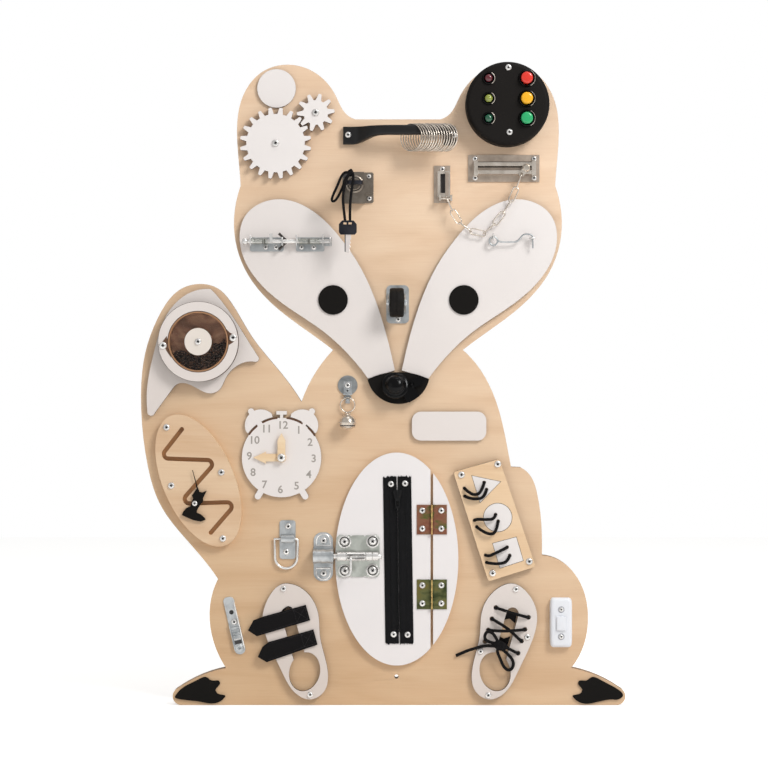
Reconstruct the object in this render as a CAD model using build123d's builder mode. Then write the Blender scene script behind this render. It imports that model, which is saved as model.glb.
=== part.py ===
"""Wooden busy board: an upright animal outline with household fittings to work by hand.

Millimetres. The wall is the plane y = 0 and the board stands in front of it, towards -Y.
X runs to the viewer's right and Z up. The origin is on the wall, at the middle of the bottom edge.
"""
from build123d import *
from math import atan2, cos, degrees, hypot, radians, sin, tan
import os

os.makedirs("parts", exist_ok=True)

# ---------------------------------------------------------------- driving dimensions
BOARD_T = 18.0  # birch plywood
PLATE_T = 6.0  # cut-out plates laid on the board
FACE = BOARD_T  # heights are counted from the wall
TOP = BOARD_T + PLATE_T
SHEET = 1.5  # pressed steel plates
PLAY = 0.3  # gap beside anything that moves
MIDLINE = -1.2  # x of the head's line of symmetry
WALL_HOLE_R = 2.25
WALL_HOLE = (-2.8, 31.2)

HEAD_R = 4.0  # pan-head screws, and the smaller sizes of them
HEAD_38, HEAD_35, HEAD_31, HEAD_28 = 3.8, 3.5, 3.1, 2.8
HEAD_H = 2.0
HEAD_TAPER = 28.0
SHANK_R = 1.6


def front(height):
    """Sketch plane at that height in front of the wall: local x is right, local y is up."""
    return Plane.XZ.offset(height)


def mirrored(points, line=MIDLINE):
    """The points on the other side of an upright line, in the opposite order."""
    return [(2 * line - x, z) for x, z in reversed(points)]


def disc(spots, level, radius, height, taper=0.0):
    """Round studs of one size standing on a face."""
    with BuildSketch(front(level)) as rounds:
        with Locations(*spots):
            Circle(radius)
    extrude(rounds.sketch, amount=height, taper=taper)


def pan_heads(spots, level, radius=HEAD_R):
    """Screw heads resting on a face."""
    disc(spots, level, radius, HEAD_H, HEAD_TAPER)


def bore(spots, level, radius, depth):
    """Round holes cut into a face, from the front."""
    with BuildSketch(front(level)) as rounds:
        with Locations(*spots):
            Circle(radius)
    extrude(rounds.sketch, amount=-depth, mode=Mode.SUBTRACT)


def slab(plane, low, high, height, corner=0.0, mode=Mode.ADD):
    """Plate between two corners on a plane, with rounded corners if asked."""
    size = (high[0] - low[0], high[1] - low[1])
    with BuildSketch(plane) as rectangle:
        with Locations(((low[0] + high[0]) / 2, (low[1] + high[1]) / 2)):
            if corner:
                RectangleRounded(*size, corner)
            else:
                Rectangle(*size)
    extrude(rectangle.sketch, amount=height, mode=mode)


def block(low, high, level, height, corner=0.0, mode=Mode.ADD):
    """Upright plate between two corners, at a height in front of the wall."""
    slab(front(level), low, high, height, corner, mode)


def bar(start, end, radius, sides=0, bore_r=0.0, mode=Mode.ADD):
    """Straight rod or tube between two points of space, round or with that many flats."""
    run = Vector(*end) - Vector(*start)
    with BuildSketch(Plane(origin=start, z_dir=run)) as section:
        if sides:
            RegularPolygon(radius, sides)
        else:
            Circle(radius)
        if bore_r:
            Circle(bore_r, mode=Mode.SUBTRACT)
    extrude(section.sketch, amount=run.length, mode=mode)


def sweep_round(path, radius, sides=0):
    """Rod of one section along a wire."""
    with BuildSketch(Plane(origin=path @ 0, z_dir=path % 0)) as section:
        if sides:
            RegularPolygon(radius, sides)
        else:
            Circle(radius)
    sweep(section.sketch, path=path)


def bend_radii(points):
    """A bend for every corner of a cord: as large as the two runs beside it allow."""
    corners = [Vector(*p) for p in points]
    radii = []
    for before, here, after in zip(corners, corners[1:], corners[2:]):
        run_in, run_out = here - before, after - here
        half_turn = radians(run_in.get_angle(run_out)) / 2
        radii.append(0.45 * min(run_in.length, run_out.length) / tan(half_turn))
    return radii


def tube(points, radius, name):
    """Cord swept along straight runs joined by tangent arcs."""
    radii = bend_radii(points)
    with BuildLine() as route:
        FilletPolyline(*points, radius=radii)
    path = route.wire()
    sweep_round(path, radius)
    print(name, "length", round(path.length, 1), "bends", [round(r, 1) for r in radii])


# ---------------------------------------------------------------- the board
EAR = [(-48, 644.1), (-60, 652), (-69.5, 670), (-92.4, 695.5), (-122.5, 704.3),
       (-151.8, 695.5), (-171.6, 669.9), (-178.2, 630.3), (-174.2, 571)]
CHEEK = [(-174.2, 571), (-180.6, 544.5), (-181.3, 522), (-169.4, 479), (-137.5, 439.3),
         (-112.2, 419.3), (-72.6, 390.5)]
NECK = [(-72.6, 390.5), (-88, 371.5), (-99.5, 352), (-107.3, 333.3)]
TAIL = [(-107.3, 333.3), (-130.9, 366.3), (-162.8, 405.9), (-187, 445.5), (-200.2, 458.7),
        (-218.9, 463.1), (-238.7, 458.2), (-265.1, 426), (-279.4, 386), (-283.8, 335),
        (-277.2, 267.3), (-262.9, 221), (-227.7, 174.9), (-199.1, 138.6)]
HAUNCH = [(-199.1, 138.6), (-207.9, 109), (-205.7, 76), (-190.3, 40.7)]
PAW_TOP = [(-190.3, 40.7), (-223.3, 29.9), (-243, 18.5)]
PAW_TIP = [(-243, 18.5), (-249, 9), (-238, 0)]
RIGHT_HAUNCH = [(189.5, 40.7), (204.5, 70), (207.9, 98), (201, 131), (184, 154), (157.3, 164.5)]
ARM = [(157.3, 164.5), (156.5, 201), (152.5, 230), (146.5, 249), (134, 261.3)]
SHOULDER = (123.2, 261.8)
FLANK = [(123.2, 261.8), (116.5, 297), (104.5, 340), (89, 369.5), (70.2, 390.5)]

with BuildPart() as back_board:
    with BuildSketch(front(0)):
        with BuildLine():
            Spline(*EAR)
            Spline(*CHEEK)
            Spline(*NECK)
            Spline(*TAIL)
            Spline(*HAUNCH)
            Spline(*PAW_TOP)
            ThreePointArc(*PAW_TIP)
            Line(PAW_TIP[-1], (-PAW_TIP[-1][0], 0))
            ThreePointArc(*mirrored(PAW_TIP, 0))
            Spline(*mirrored(PAW_TOP, 0)[:-1], RIGHT_HAUNCH[0])
            Spline(*RIGHT_HAUNCH)
            Spline(*ARM)
            Line(ARM[-1], SHOULDER)
            Spline(*FLANK)
            Spline(*mirrored(CHEEK))
            Spline(*mirrored(EAR))
            Line(mirrored(EAR)[-1], EAR[0])
        make_face()
    extrude(amount=BOARD_T)
    bore([WALL_HOLE], BOARD_T, WALL_HOLE_R, BOARD_T)

# ---------------------------------------------------------------- black nose, pupils and paw tips
NOSE_T = 8.0
NOSE_CORNERS = [(-34.5, 358.0), (33.0, 358.0)]
NOSE_TOP = (MIDLINE, 366.0)
NOSE_BOTTOM = (MIDLINE, 331.0)
PUPIL_R = 16.2
PUPILS = [(-72.4, 445.3), (71.1, 445.3)]
PUPIL_T = 1.5
PAW_T = 2.0
CLAWS = [(-246, 10), (-238, 19), (-223.6, 26.6), (-211, 30.3), (-206, 27), (-197.5, 26), (-197, 23.6),
         (-201.5, 17), (-199, 12.5), (-191, 10), (-194, 6), (-220, 4), (-238, 6)]


def nose_outline(grow=0.0):
    """Half-moon of the nose, a little larger where its place is cut from another plate."""
    (left, corner_z), (right, _) = NOSE_CORNERS
    start, end = (left - 1.6 * grow, corner_z), (right + 1.6 * grow, corner_z)
    with BuildLine() as outline:
        ThreePointArc(start, (MIDLINE, NOSE_BOTTOM[1] - grow), end)
        ThreePointArc(end, (MIDLINE, NOSE_TOP[1] + grow), start)
    make_face(outline.line)


with BuildPart() as black_trim:
    with BuildSketch(front(FACE)):
        nose_outline()
    extrude(amount=NOSE_T)
    disc(PUPILS, TOP, PUPIL_R, PUPIL_T)
    for claws in (CLAWS, mirrored(CLAWS, 0)):
        with BuildSketch(front(FACE)):
            with BuildLine():
                Spline(*claws, periodic=True)
            make_face()
        extrude(amount=PAW_T)

# ---------------------------------------------------------------- white plates fixed to the board
PATCH_OUTER = [(-34, 359), (-51.7, 381.2), (-81.4, 409.4), (-126, 440), (-157, 468.5),
               (-174.7, 508), (-168.5, 538), (-135.7, 555.7), (-97, 544.5), (-64.9, 514),
               (-44.3, 484.5), (-22.1, 434.5), (-4.6, 368)]
TAIL_LEFT = [(-206.5, 457.2), (-231, 452.5), (-252.5, 433), (-268, 392), (-276.8, 345), (-276.2, 323)]
TAIL_TIP = [(-276.2, 323), (-272.3, 318.2), (-268, 321.5)]
TAIL_LOBES = [(-247.5, 349.5), (-240, 354), (-224, 349.5), (-206, 342.8), (-198, 346), (-190, 360),
              (-180, 371.5), (-157.5, 377.3)]
TAIL_POINT = [(-157.5, 377.3), (-154.2, 379.2), (-154.5, 383)]
TAIL_RIGHT = [(-154.5, 383), (-172.3, 411), (-198.5, 448.5), (-206.5, 457.2)]
SHOE = [(-122.4, 134), (-101, 124), (-88.5, 100), (-87, 78), (-78, 35), (-82, 16), (-97, 6.8),
        (-116, 16), (-128, 36), (-143, 68), (-149.8, 96), (-144, 117)]
SHOE_MIDDLE = 0.9  # the two shoes are mirror images about this line
SHOE_TILT = 14.0
HEEL = (-103.6, 37.2)
HEEL_SIZE = (16.8, 21.6)
TONGUE = ((-122.8, 101.0), (-108.0, 48.0))  # the slot down the middle of a shoe
TONGUE_W = 13.5
LACE_HOLE_R = 2.6
LACE_HOLES = [(142.0, 97.0), (138.2, 83.7), (134.4, 71.0), (130.6, 57.6),
              (106.3, 107.6), (102.0, 95.3), (98.0, 83.0), (94.2, 70.4)]
BADGE = (-134.6, 677.8)
BADGE_R = 21.2
BADGE_T = 3.0
PLAQUE = ((14.2, 290.8), (95.9, 322.7))
PLAQUE_T = 4.0
PLAQUE_CORNER = 10.0


def slot_between(ends, width, mode=Mode.ADD):
    """Face of a round-ended slot between two points."""
    (x0, z0), (x1, z1) = ends
    slope = degrees(atan2(z1 - z0, x1 - x0))
    with Locations(Location(((x0 + x1) / 2, (z0 + z1) / 2, 0), (0, 0, slope))):
        SlotCenterToCenter(hypot(x1 - x0, z1 - z0), width, mode=mode)


with BuildPart() as white_plates:
    for outline in (PATCH_OUTER, mirrored(PATCH_OUTER, -0.8)):
        with BuildSketch(front(FACE)):
            with BuildLine():
                Spline(*outline)
                Line(outline[-1], outline[0])
            make_face()
        extrude(amount=PLATE_T)
    with BuildSketch(front(FACE)):
        nose_outline(grow=0.25)
    extrude(amount=PLATE_T, mode=Mode.SUBTRACT)
    with BuildSketch(front(FACE)):
        with BuildLine():
            Spline(*TAIL_LEFT)
            ThreePointArc(*TAIL_TIP)
            Line(TAIL_TIP[-1], TAIL_LOBES[0])
            Spline(*TAIL_LOBES)
            ThreePointArc(*TAIL_POINT)
            Spline(*TAIL_RIGHT)
        make_face()
    extrude(amount=PLATE_T)
    for side in (-1, 1):
        points = SHOE if side < 0 else mirrored(SHOE, SHOE_MIDDLE)
        heel_x = HEEL[0] if side < 0 else 2 * SHOE_MIDDLE - HEEL[0]
        ends = TONGUE if side < 0 else mirrored(TONGUE, SHOE_MIDDLE)
        with BuildSketch(front(FACE)):
            with BuildLine():
                Spline(*points, periodic=True)
            make_face()
            with Locations(Location((heel_x, HEEL[1], 0), (0, 0, -side * -SHOE_TILT))):
                Ellipse(*HEEL_SIZE, mode=Mode.SUBTRACT)
            slot_between(ends, TONGUE_W, Mode.SUBTRACT)
        extrude(amount=PLATE_T)
    bore(LACE_HOLES, TOP, LACE_HOLE_R, PLATE_T)
    disc([BADGE], FACE, BADGE_R, BADGE_T)
    block(*PLAQUE, FACE, PLAQUE_T, PLAQUE_CORNER)

# ---------------------------------------------------------------- the pair of gears
TEETH_LARGE = 20
TEETH_SMALL = 10
CENTRE_LARGE = (-135.4, 617.2)
CENTRE_SMALL = (-91.4, 650.9)
GEAR_SPAN = hypot(CENTRE_SMALL[0] - CENTRE_LARGE[0], CENTRE_SMALL[1] - CENTRE_LARGE[1])
MODULE = 2 * GEAR_SPAN / (TEETH_LARGE + TEETH_SMALL)
ADDENDUM = 2.2
DEDENDUM = 4.9
TOOTH_ROOT_W = 6.4
TOOTH_TIP_W = 3.4
TOOTH_ROUND = 1.2
GEAR_T = 7.0
WASHER_T = 1.0
GEAR_LEVEL = FACE + WASHER_T
MESH_ANGLE = degrees(atan2(CENTRE_SMALL[1] - CENTRE_LARGE[1], CENTRE_SMALL[0] - CENTRE_LARGE[0]))
PHASE_LARGE = 9.0  # a gap of the large gear faces the small one
PHASE_SMALL = MESH_ANGLE + 180 + 2 * (MESH_ANGLE - 36.0)


def gear(teeth, centre, phase):
    """Spur gear cut from board: straight-sided teeth with rounded tips, on a plain bore."""
    pitch_r = MODULE * teeth / 2
    root_r, tip_r = pitch_r - DEDENDUM, pitch_r + ADDENDUM
    reach = tip_r - root_r + 1
    with BuildSketch(front(GEAR_LEVEL)) as blank:
        with Locations(centre):
            Circle(root_r)
            with PolarLocations(root_r - 1, teeth, start_angle=phase):
                Polygon((0, -TOOTH_ROOT_W / 2), (reach, -TOOTH_TIP_W / 2), (reach, TOOTH_TIP_W / 2),
                        (0, TOOTH_ROOT_W / 2), align=None)
        tips = [v for v in blank.vertices() if hypot(v.X - centre[0], v.Y - centre[1]) > tip_r - 0.5]
        fillet(tips, TOOTH_ROUND)
        with Locations(centre):
            Circle(SHANK_R + PLAY, mode=Mode.SUBTRACT)
    extrude(blank.sketch, amount=GEAR_T)


with BuildPart() as gear_large:
    gear(TEETH_LARGE, CENTRE_LARGE, PHASE_LARGE)

with BuildPart() as gear_small:
    gear(TEETH_SMALL, CENTRE_SMALL, PHASE_SMALL)

# ---------------------------------------------------------------- bow handle with its rings
HANDLE_FEET = [(-54.0, 625.5), (56.2, 625.5)]
FOOT_SIZE = (15.4, 19.0)
FOOT_T = 6.0
BAR_R = 5.0
BAR_Z = 630.0
BAR_LEVEL = FACE + 24.0
BOW_INSET = (9.0, 4.0)  # from the middle of each foot to where the bow rises
BOW_RUN = 18.0  # the left leg leans over this far
BOW_BENDS = (14.0, 6.0)
HANDLE_SCREWS = [(-56.0, 626.4), (60.4, 626.0)]
RING_COUNT = 15
RING_R = 15.5
RING_WIRE = 1.4
RING_TURN = 39.5  # the pack of rings leans this far out of the board's plane
RING_FIRST_X = 13.6
RING_STEP = 2.72
RING_SIDES = 24

with BuildPart() as ring_handle:
    wide, high = FOOT_SIZE
    for x, z in HANDLE_FEET:
        block((x - wide / 2, z - high / 2), (x + wide / 2, z + high / 2), FACE, FOOT_T)
    left, right = HANDLE_FEET[0][0] + BOW_INSET[0], HANDLE_FEET[1][0] - BOW_INSET[1]
    low = FACE + FOOT_T - 2
    with BuildLine() as bow:
        FilletPolyline((left, -low, BAR_Z), (left + BOW_RUN, -BAR_LEVEL, BAR_Z), (right, -BAR_LEVEL, BAR_Z),
                       (right, -low, BAR_Z), radius=BOW_BENDS)
    sweep_round(bow.wire(), BAR_R)

with BuildPart() as key_rings:
    lean = radians(RING_TURN)
    ring_z = BAR_Z + BAR_R + RING_WIRE - RING_R + 2 * PLAY
    for turn in range(RING_COUNT):
        middle = (RING_FIRST_X + turn * RING_STEP, -BAR_LEVEL, ring_z)
        facing = Plane(origin=middle, x_dir=(cos(lean), -sin(lean), 0), z_dir=(-sin(lean), -cos(lean), 0))
        with BuildSketch(facing):
            RegularPolygon(RING_R, RING_SIDES)
            RegularPolygon(RING_R - RING_WIRE, RING_SIDES, mode=Mode.SUBTRACT)
        extrude(amount=RING_WIRE / 2, both=True)

# ---------------------------------------------------------------- cam lock, key, cord and spare key
LOCK_LOW = (-62.0, 551.0)
LOCK_HIGH = (-28.0, 585.5)
LOCK_T = 10.0
LOCK_CORNER = 3.0
LOCK_TABS = [(-33.2, 581.0), (-32.6, 556.8)]
TAB_SIZE = (10.4, 9.6)
TAB_T = 2.0
LOCK_AXIS = (-48.6, 572.0)
PLUG_R = 6.6
PLUG_T = 4.0
KEYWAY_R = 4.5
KEY_BLADE = (8.0, 2.0)
KEY_BOW = (19.0, 4.4, 19.0)  # wide, thick and long
KEY_REACH = 4.0  # blade left showing between plug and bow
KEY_TIP = 3.0
SPARE_TOP = 534.5
SPARE_X = -55.8
SPARE_BOW = 19.4
SPARE_T = 4.0
SPARE_LEVEL = 54.0
SPARE_BLADE = (8.0, 21.0, 2.0)
SPARE_SHOULDER = 4.0  # the bow starts this far below the cord
SPARE_CORNER = 2.0
CORD_R = 1.3

with BuildPart() as lock_case:
    block(LOCK_LOW, LOCK_HIGH, FACE, LOCK_T, LOCK_CORNER)
    for x, z in LOCK_TABS:
        block((x - TAB_SIZE[0] / 2, z - TAB_SIZE[1] / 2), (LOCK_HIGH[0] + 1, z + TAB_SIZE[1] / 2),
              FACE + TAB_T,
              LOCK_T, mode=Mode.SUBTRACT)
    disc([LOCK_AXIS], FACE + LOCK_T, PLUG_R, PLUG_T)
    bore([LOCK_AXIS], FACE + LOCK_T + PLUG_T, KEYWAY_R + PLAY, LOCK_T + PLUG_T - TAB_T)

KEY_LEVEL = FACE + LOCK_T + PLUG_T + KEY_REACH
with BuildPart() as lock_key:
    key_x, key_z = LOCK_AXIS
    wide, high = KEY_BLADE
    block((key_x - wide / 2, key_z - high / 2), (key_x + wide / 2, key_z + high / 2), FACE + KEY_TIP,
          LOCK_T + PLUG_T + KEY_REACH - KEY_TIP)
    wide, high, length = KEY_BOW
    block((key_x - wide / 2, key_z - high / 2), (key_x + wide / 2, key_z + high / 2), KEY_LEVEL, length)
    disc([LOCK_AXIS], FACE + LOCK_T - 1, KEYWAY_R, PLUG_T)

# the cord hangs in front of the key's bow: one long bight to the spare key, one short one beside it
HANG = KEY_LEVEL + KEY_BOW[2] + CORD_R + 1.0
CORD_ROUTE = [
    (-58.8, -SPARE_LEVEL, 530.5), (-60.2, -55, 542), (-61.4, -HANG + 1, 557), (-58.5, -HANG, 571),
    (-55.0, -HANG, 580.5), (-50.2, -HANG, 583.0), (-49.6, -HANG, 575), (-52.0, -HANG, 561),
    (-53.6, -HANG + 1, 545), (-53.4, -SPARE_LEVEL, 530.5),
]

with BuildPart() as key_cord:
    tube(CORD_ROUTE, CORD_R, "key_cord")

with BuildPart() as spare_key:
    neck = SPARE_TOP - SPARE_BOW
    block((SPARE_X - SPARE_BOW / 2, neck), (SPARE_X + SPARE_BOW / 2, SPARE_TOP - SPARE_SHOULDER),
          SPARE_LEVEL - SPARE_T / 2, SPARE_T, SPARE_CORNER)
    wide, length, thick = SPARE_BLADE
    block((SPARE_X - wide / 2, neck - length), (SPARE_X + wide / 2, neck), SPARE_LEVEL - thick / 2, thick)

# ---------------------------------------------------------------- door chain
CHAIN_LEVEL = 29.5  # all links hang on this plane, clear of the eye patch
LINK_L = 18.9
LINK_W = 7.7
LINK_WIRE = 1.4
LINK_GAP = 2.1  # centre to centre of two wires that hook together
LINK_PITCH = LINK_L - 2 * LINK_WIRE + LINK_WIRE - LINK_GAP
LEFT_RUN = [-66.0, -58.0, -37.0, -13.0]  # each link's slope, from the anchor down
RIGHT_RUN = [40.0, 52.0, 58.0, 66.0, 70.0]  # and from the lowest point up
ANCHOR = (52.4, 556.0)
ANCHOR_LOW = (38.4, 552.0)
ANCHOR_HIGH = (56.4, 593.0)
TRACK_LOW = (76.0, 575.2)
TRACK_HIGH = (154.4, 604.8)
TRACK_SCREWS = [(83.6, 600.6), (148.4, 600.6), (83.6, 579.4), (148.4, 579.4)]
ANCHOR_SCREW = (47.6, 589.0)
CHANNEL_Z = 589.8
CHANNEL_H = 13.0
CHANNEL_RISE = 7.0
CHANNEL_X = (86.5, 145.5)
SLOT_H = 5.0
ANCHOR_PIN_R = 0.8
LOW_GAP = 0.9  # extra slack where the two runs hook together
LOW_LIFT = 1.2  # and the right run's start above the left run's end
HOUSING_RISE = 6.5
HOUSING = ((-11.5, -2.5), (6.85, 27.0))  # corners about the pin
HOUSING_WELL = ((-6.0, -3.0), (3.5, 22.0))
PIN_EARS = [(-8.5, -6.5), (4.0, 6.0)]
PIN_SPAN = (-7.0, 4.5)
PLATE_CORNER = 1.5


def link_at(centre, slope, edge_on):
    """One chain link: a flat ring with round ends, seen from the front or from its edge."""
    along = (cos(radians(slope)), 0, sin(radians(slope)))
    across = (-sin(radians(slope)), 0, cos(radians(slope)))
    facing = across if edge_on else (0, -1, 0)
    plane = Plane(origin=(centre[0], -CHAIN_LEVEL, centre[1]), x_dir=along, z_dir=facing)
    with BuildSketch(plane) as ring:
        SlotOverall(LINK_L, LINK_W)
        SlotOverall(LINK_L - 2 * LINK_WIRE, LINK_W - 2 * LINK_WIRE, mode=Mode.SUBTRACT)
    extrude(ring.sketch, amount=LINK_WIRE / 2, both=True)


def chain_run(start, slopes, edge_first):
    """Links hooked one into the next from a start point; gives back the far end."""
    x, z = start
    for number, slope in enumerate(slopes):
        dx, dz = LINK_PITCH * cos(radians(slope)), LINK_PITCH * sin(radians(slope))
        link_at((x + dx / 2, z + dz / 2), slope, edge_on=(number % 2 == 0) == edge_first)
        x, z = x + dx, z + dz
    return x, z


PIN_TO_WIRE = 2.15  # from the anchor pin's centre to the first link's end wire
slope = radians(LEFT_RUN[0])
reach = PIN_TO_WIRE - LINK_GAP / 2
chain_top = (ANCHOR[0] - reach * cos(slope), ANCHOR[1] - reach * sin(slope))
with BuildPart() as chain_left_run:
    chain_low = chain_run(chain_top, LEFT_RUN, edge_first=True)

chain_rise = (chain_low[0] - LOW_GAP * cos(radians(RIGHT_RUN[0] / 2)), chain_low[1] + LOW_LIFT)
with BuildPart() as chain_right_run:
    chain_end = chain_run(chain_rise, RIGHT_RUN, edge_first=True)

with BuildPart() as chain_plates:
    pin_x, pin_z = ANCHOR
    block(ANCHOR_LOW, ANCHOR_HIGH, FACE, SHEET, PLATE_CORNER)
    for corners, corner, mode in ((HOUSING, 2.0, Mode.ADD), (HOUSING_WELL, 3.0, Mode.SUBTRACT)):
        (left, low), (right, high) = corners
        block((pin_x + left, pin_z + low), (pin_x + right, pin_z + high), FACE + SHEET, HOUSING_RISE,
              corner, mode)
    for left, right in PIN_EARS:
        block((pin_x + left, pin_z - 2.5), (pin_x + right, pin_z + 4), FACE + SHEET + HOUSING_RISE,
              HOUSING_RISE)
    block(TRACK_LOW, TRACK_HIGH, FACE, SHEET, PLATE_CORNER)
    block((CHANNEL_X[0] - 4, CHANNEL_Z - CHANNEL_H / 2), (CHANNEL_X[1] + 2, CHANNEL_Z + CHANNEL_H / 2),
          FACE + SHEET, CHANNEL_RISE, PLATE_CORNER)
    block((CHANNEL_X[0], CHANNEL_Z - CHANNEL_H / 2 + SHEET),
          (CHANNEL_X[1], CHANNEL_Z + CHANNEL_H / 2 - SHEET),
          FACE + SHEET, CHANNEL_RISE - SHEET, mode=Mode.SUBTRACT)
    block((CHANNEL_X[0], CHANNEL_Z - SLOT_H / 2), (CHANNEL_X[1], CHANNEL_Z + SLOT_H / 2), FACE + SHEET,
          CHANNEL_RISE, mode=Mode.SUBTRACT)
    # the pin that carries the first link
    bar((pin_x + PIN_SPAN[0], -CHAIN_LEVEL, pin_z), (pin_x + PIN_SPAN[1], -CHAIN_LEVEL, pin_z), ANCHOR_PIN_R)

CARRIAGE_X = 139.4
CARRIAGE_R = 4.4
CARRIAGE_STEM = 11.5
CARRIAGE_HEAD_R = 4.2
LUG_W = 6.2
LUG_HOLE_R = 1.4
slope = radians(RIGHT_RUN[-1])
LUG = (chain_end[0] + LINK_GAP / 2 * cos(slope), chain_end[1] + LINK_GAP / 2 * sin(slope))
with BuildPart() as chain_carriage:
    disc([(CARRIAGE_X, CHANNEL_Z)], FACE + SHEET + PLAY, CARRIAGE_R, CHANNEL_RISE - SHEET - 2 * PLAY)
    disc([(CARRIAGE_X, CHANNEL_Z)], FACE + SHEET + PLAY, SLOT_H / 2 - PLAY, CARRIAGE_STEM)
    with BuildSketch(front(CHAIN_LEVEL - LINK_WIRE / 2)):
        slot_between((LUG, (CARRIAGE_X, CHANNEL_Z)), LUG_W)
        with Locations(LUG):
            Circle(LUG_HOLE_R, mode=Mode.SUBTRACT)
    extrude(amount=LINK_WIRE)
    pan_heads([(CARRIAGE_X, CHANNEL_Z)], CHAIN_LEVEL + LINK_WIRE / 2, CARRIAGE_HEAD_R)

# ---------------------------------------------------------------- hook and eye
EYE_R = 3.2
EYE_WIRE = 1.0
HOOK_LEVEL = 30.5
HOOK_RING = (103.4, 509.5)
HOOK_RING_R = 4.6
HOOK_EYE_Z = HOOK_RING[1] + HOOK_RING_R
CATCH_EYE = (146.3, 512.6)
HOOK_WIRE = [(108.2, 509.3), (131.0, 509.3), (136.0, 517.0), (146.3, 517.0), (146.3, 501.8)]
HOOK_BENDS = (3.0, 3.0, 3.0)
WIRE_SIDES = 8

with BuildPart() as gate_hook:
    with BuildSketch(front(HOOK_LEVEL)):
        with Locations(HOOK_RING):
            Circle(HOOK_RING_R + EYE_WIRE)
            Circle(HOOK_RING_R - EYE_WIRE, mode=Mode.SUBTRACT)
    extrude(amount=EYE_WIRE, both=True)
    with BuildLine() as shape:
        FilletPolyline(*[(x, -HOOK_LEVEL, z) for x, z in HOOK_WIRE], radius=HOOK_BENDS)
    sweep_round(shape.wire(), EYE_WIRE, WIRE_SIDES)

# ---------------------------------------------------------------- tower bolt on the left patch
BOLT_Z = 509.1
BOLT_R = 2.3
BOLT_LEVEL = TOP + 7.0
BOLT_BRACKETS = [(-163.5, -126.5), (-113.0, -82.0)]
BOLT_FOOT = (498.4, 513.8)
BOLT_TAB = 2.0
BOLT_SCREWS = [(-146.3, 502.9), (-134.8, 502.9), (-106.9, 502.9), (-93.5, 502.9)]
BOLT_ENDS = (-171.6, -74.2)
BOLT_KNOB_R = 4.4
BOLT_HANDLE_X = -140.0
BOLT_KEEPER = ((-81.5, 504.4), (-74.0, 513.8))
BOLT_TAB_RISE = 10.5
BOLT_TAB_REACH = 4.7  # the tabs go this far below the rod's axis
BOLT_KNOB_L = 6.0
BOLT_HANDLE = (3.0, 9.0, 6.0)  # wide, rising this far, thick

with BuildPart() as spring_bolt_brackets:
    for left, right in BOLT_BRACKETS:
        block((left, BOLT_FOOT[0]), (right, BOLT_FOOT[1]), TOP, SHEET, 1.0)
        for x in (left, right - BOLT_TAB):
            block((x, BOLT_Z - BOLT_TAB_REACH), (x + BOLT_TAB, BOLT_FOOT[1]), TOP + SHEET, BOLT_TAB_RISE)
            bar((x - 1, -BOLT_LEVEL, BOLT_Z), (x + BOLT_TAB + 1, -BOLT_LEVEL, BOLT_Z), BOLT_R + PLAY,
                mode=Mode.SUBTRACT)

    # the keeper that the rod's end rests in
    (keeper_left, keeper_foot), (keeper_right, keeper_top) = BOLT_KEEPER
    block((keeper_left, keeper_foot), (keeper_right, keeper_top), TOP, SHEET, 1.0)
    block((keeper_right - BOLT_TAB, keeper_foot), (keeper_right, keeper_top), TOP + SHEET, BOLT_TAB_RISE)
    bar((keeper_right - BOLT_TAB - 1, -BOLT_LEVEL, BOLT_Z), (keeper_right + 1, -BOLT_LEVEL, BOLT_Z),
        BOLT_R + PLAY,
        mode=Mode.SUBTRACT)

with BuildPart() as spring_bolt_rod:
    bar((BOLT_ENDS[0], -BOLT_LEVEL, BOLT_Z), (BOLT_ENDS[1], -BOLT_LEVEL, BOLT_Z), BOLT_R)
    bar((BOLT_ENDS[0], -BOLT_LEVEL, BOLT_Z), (BOLT_ENDS[0] + BOLT_KNOB_L, -BOLT_LEVEL, BOLT_Z), BOLT_KNOB_R)
    wide, rise, thick = BOLT_HANDLE
    block((BOLT_HANDLE_X - wide / 2, BOLT_Z - wide / 2), (BOLT_HANDLE_X + wide / 2, BOLT_Z + rise),
          BOLT_LEVEL, thick)

# ---------------------------------------------------------------- caster wheel between the eyes
CASTER = (-2.6, 441.8)
CASTER_LOW = (-13.9, 419.6)
CASTER_HIGH = (10.9, 461.6)
CASTER_WHEEL_R = 16.0
CASTER_WHEEL_W = 15.5
CASTER_AXLE_LEVEL = FACE + 21.5
CASTER_SCREW = (-0.8, 423.8)
CASTER_PLATE_T = 2.0
FORK_T = 1.5
FORK_HALF = (11.0, 4.0)  # half its height at the plate and at the axle
AXLE_R = 2.0
TYRE_CHAMFER = 1.8

with BuildPart() as caster_frame:
    block(CASTER_LOW, CASTER_HIGH, FACE, CASTER_PLATE_T, 3.0)
    axle_x, axle_z = CASTER
    fork = CASTER_WHEEL_W / 2 + 0.6
    wide, narrow = FORK_HALF
    foot, end = -FACE - CASTER_PLATE_T, -CASTER_AXLE_LEVEL - narrow
    for inner in (axle_x - fork - FORK_T, axle_x + fork):
        with BuildSketch(Plane.YZ.offset(inner)):
            with BuildLine():
                Polyline((foot, axle_z - wide), (end, axle_z - narrow), (end, axle_z + narrow),
                         (foot, axle_z + wide),
                         close=True)
            make_face()
        extrude(amount=FORK_T)
    overhang = fork + 2 * FORK_T
    bar((axle_x - overhang, -CASTER_AXLE_LEVEL, axle_z), (axle_x + overhang, -CASTER_AXLE_LEVEL, axle_z),
        AXLE_R)

with BuildPart() as caster_wheel:
    half = CASTER_WHEEL_W / 2
    bar((axle_x - half, -CASTER_AXLE_LEVEL, axle_z), (axle_x + half, -CASTER_AXLE_LEVEL, axle_z),
        CASTER_WHEEL_R, bore_r=AXLE_R + PLAY)
    chamfer(caster_wheel.edges().filter_by(GeomType.CIRCLE).sort_by(SortBy.RADIUS)[-2:], TYRE_CHAMFER)

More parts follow.
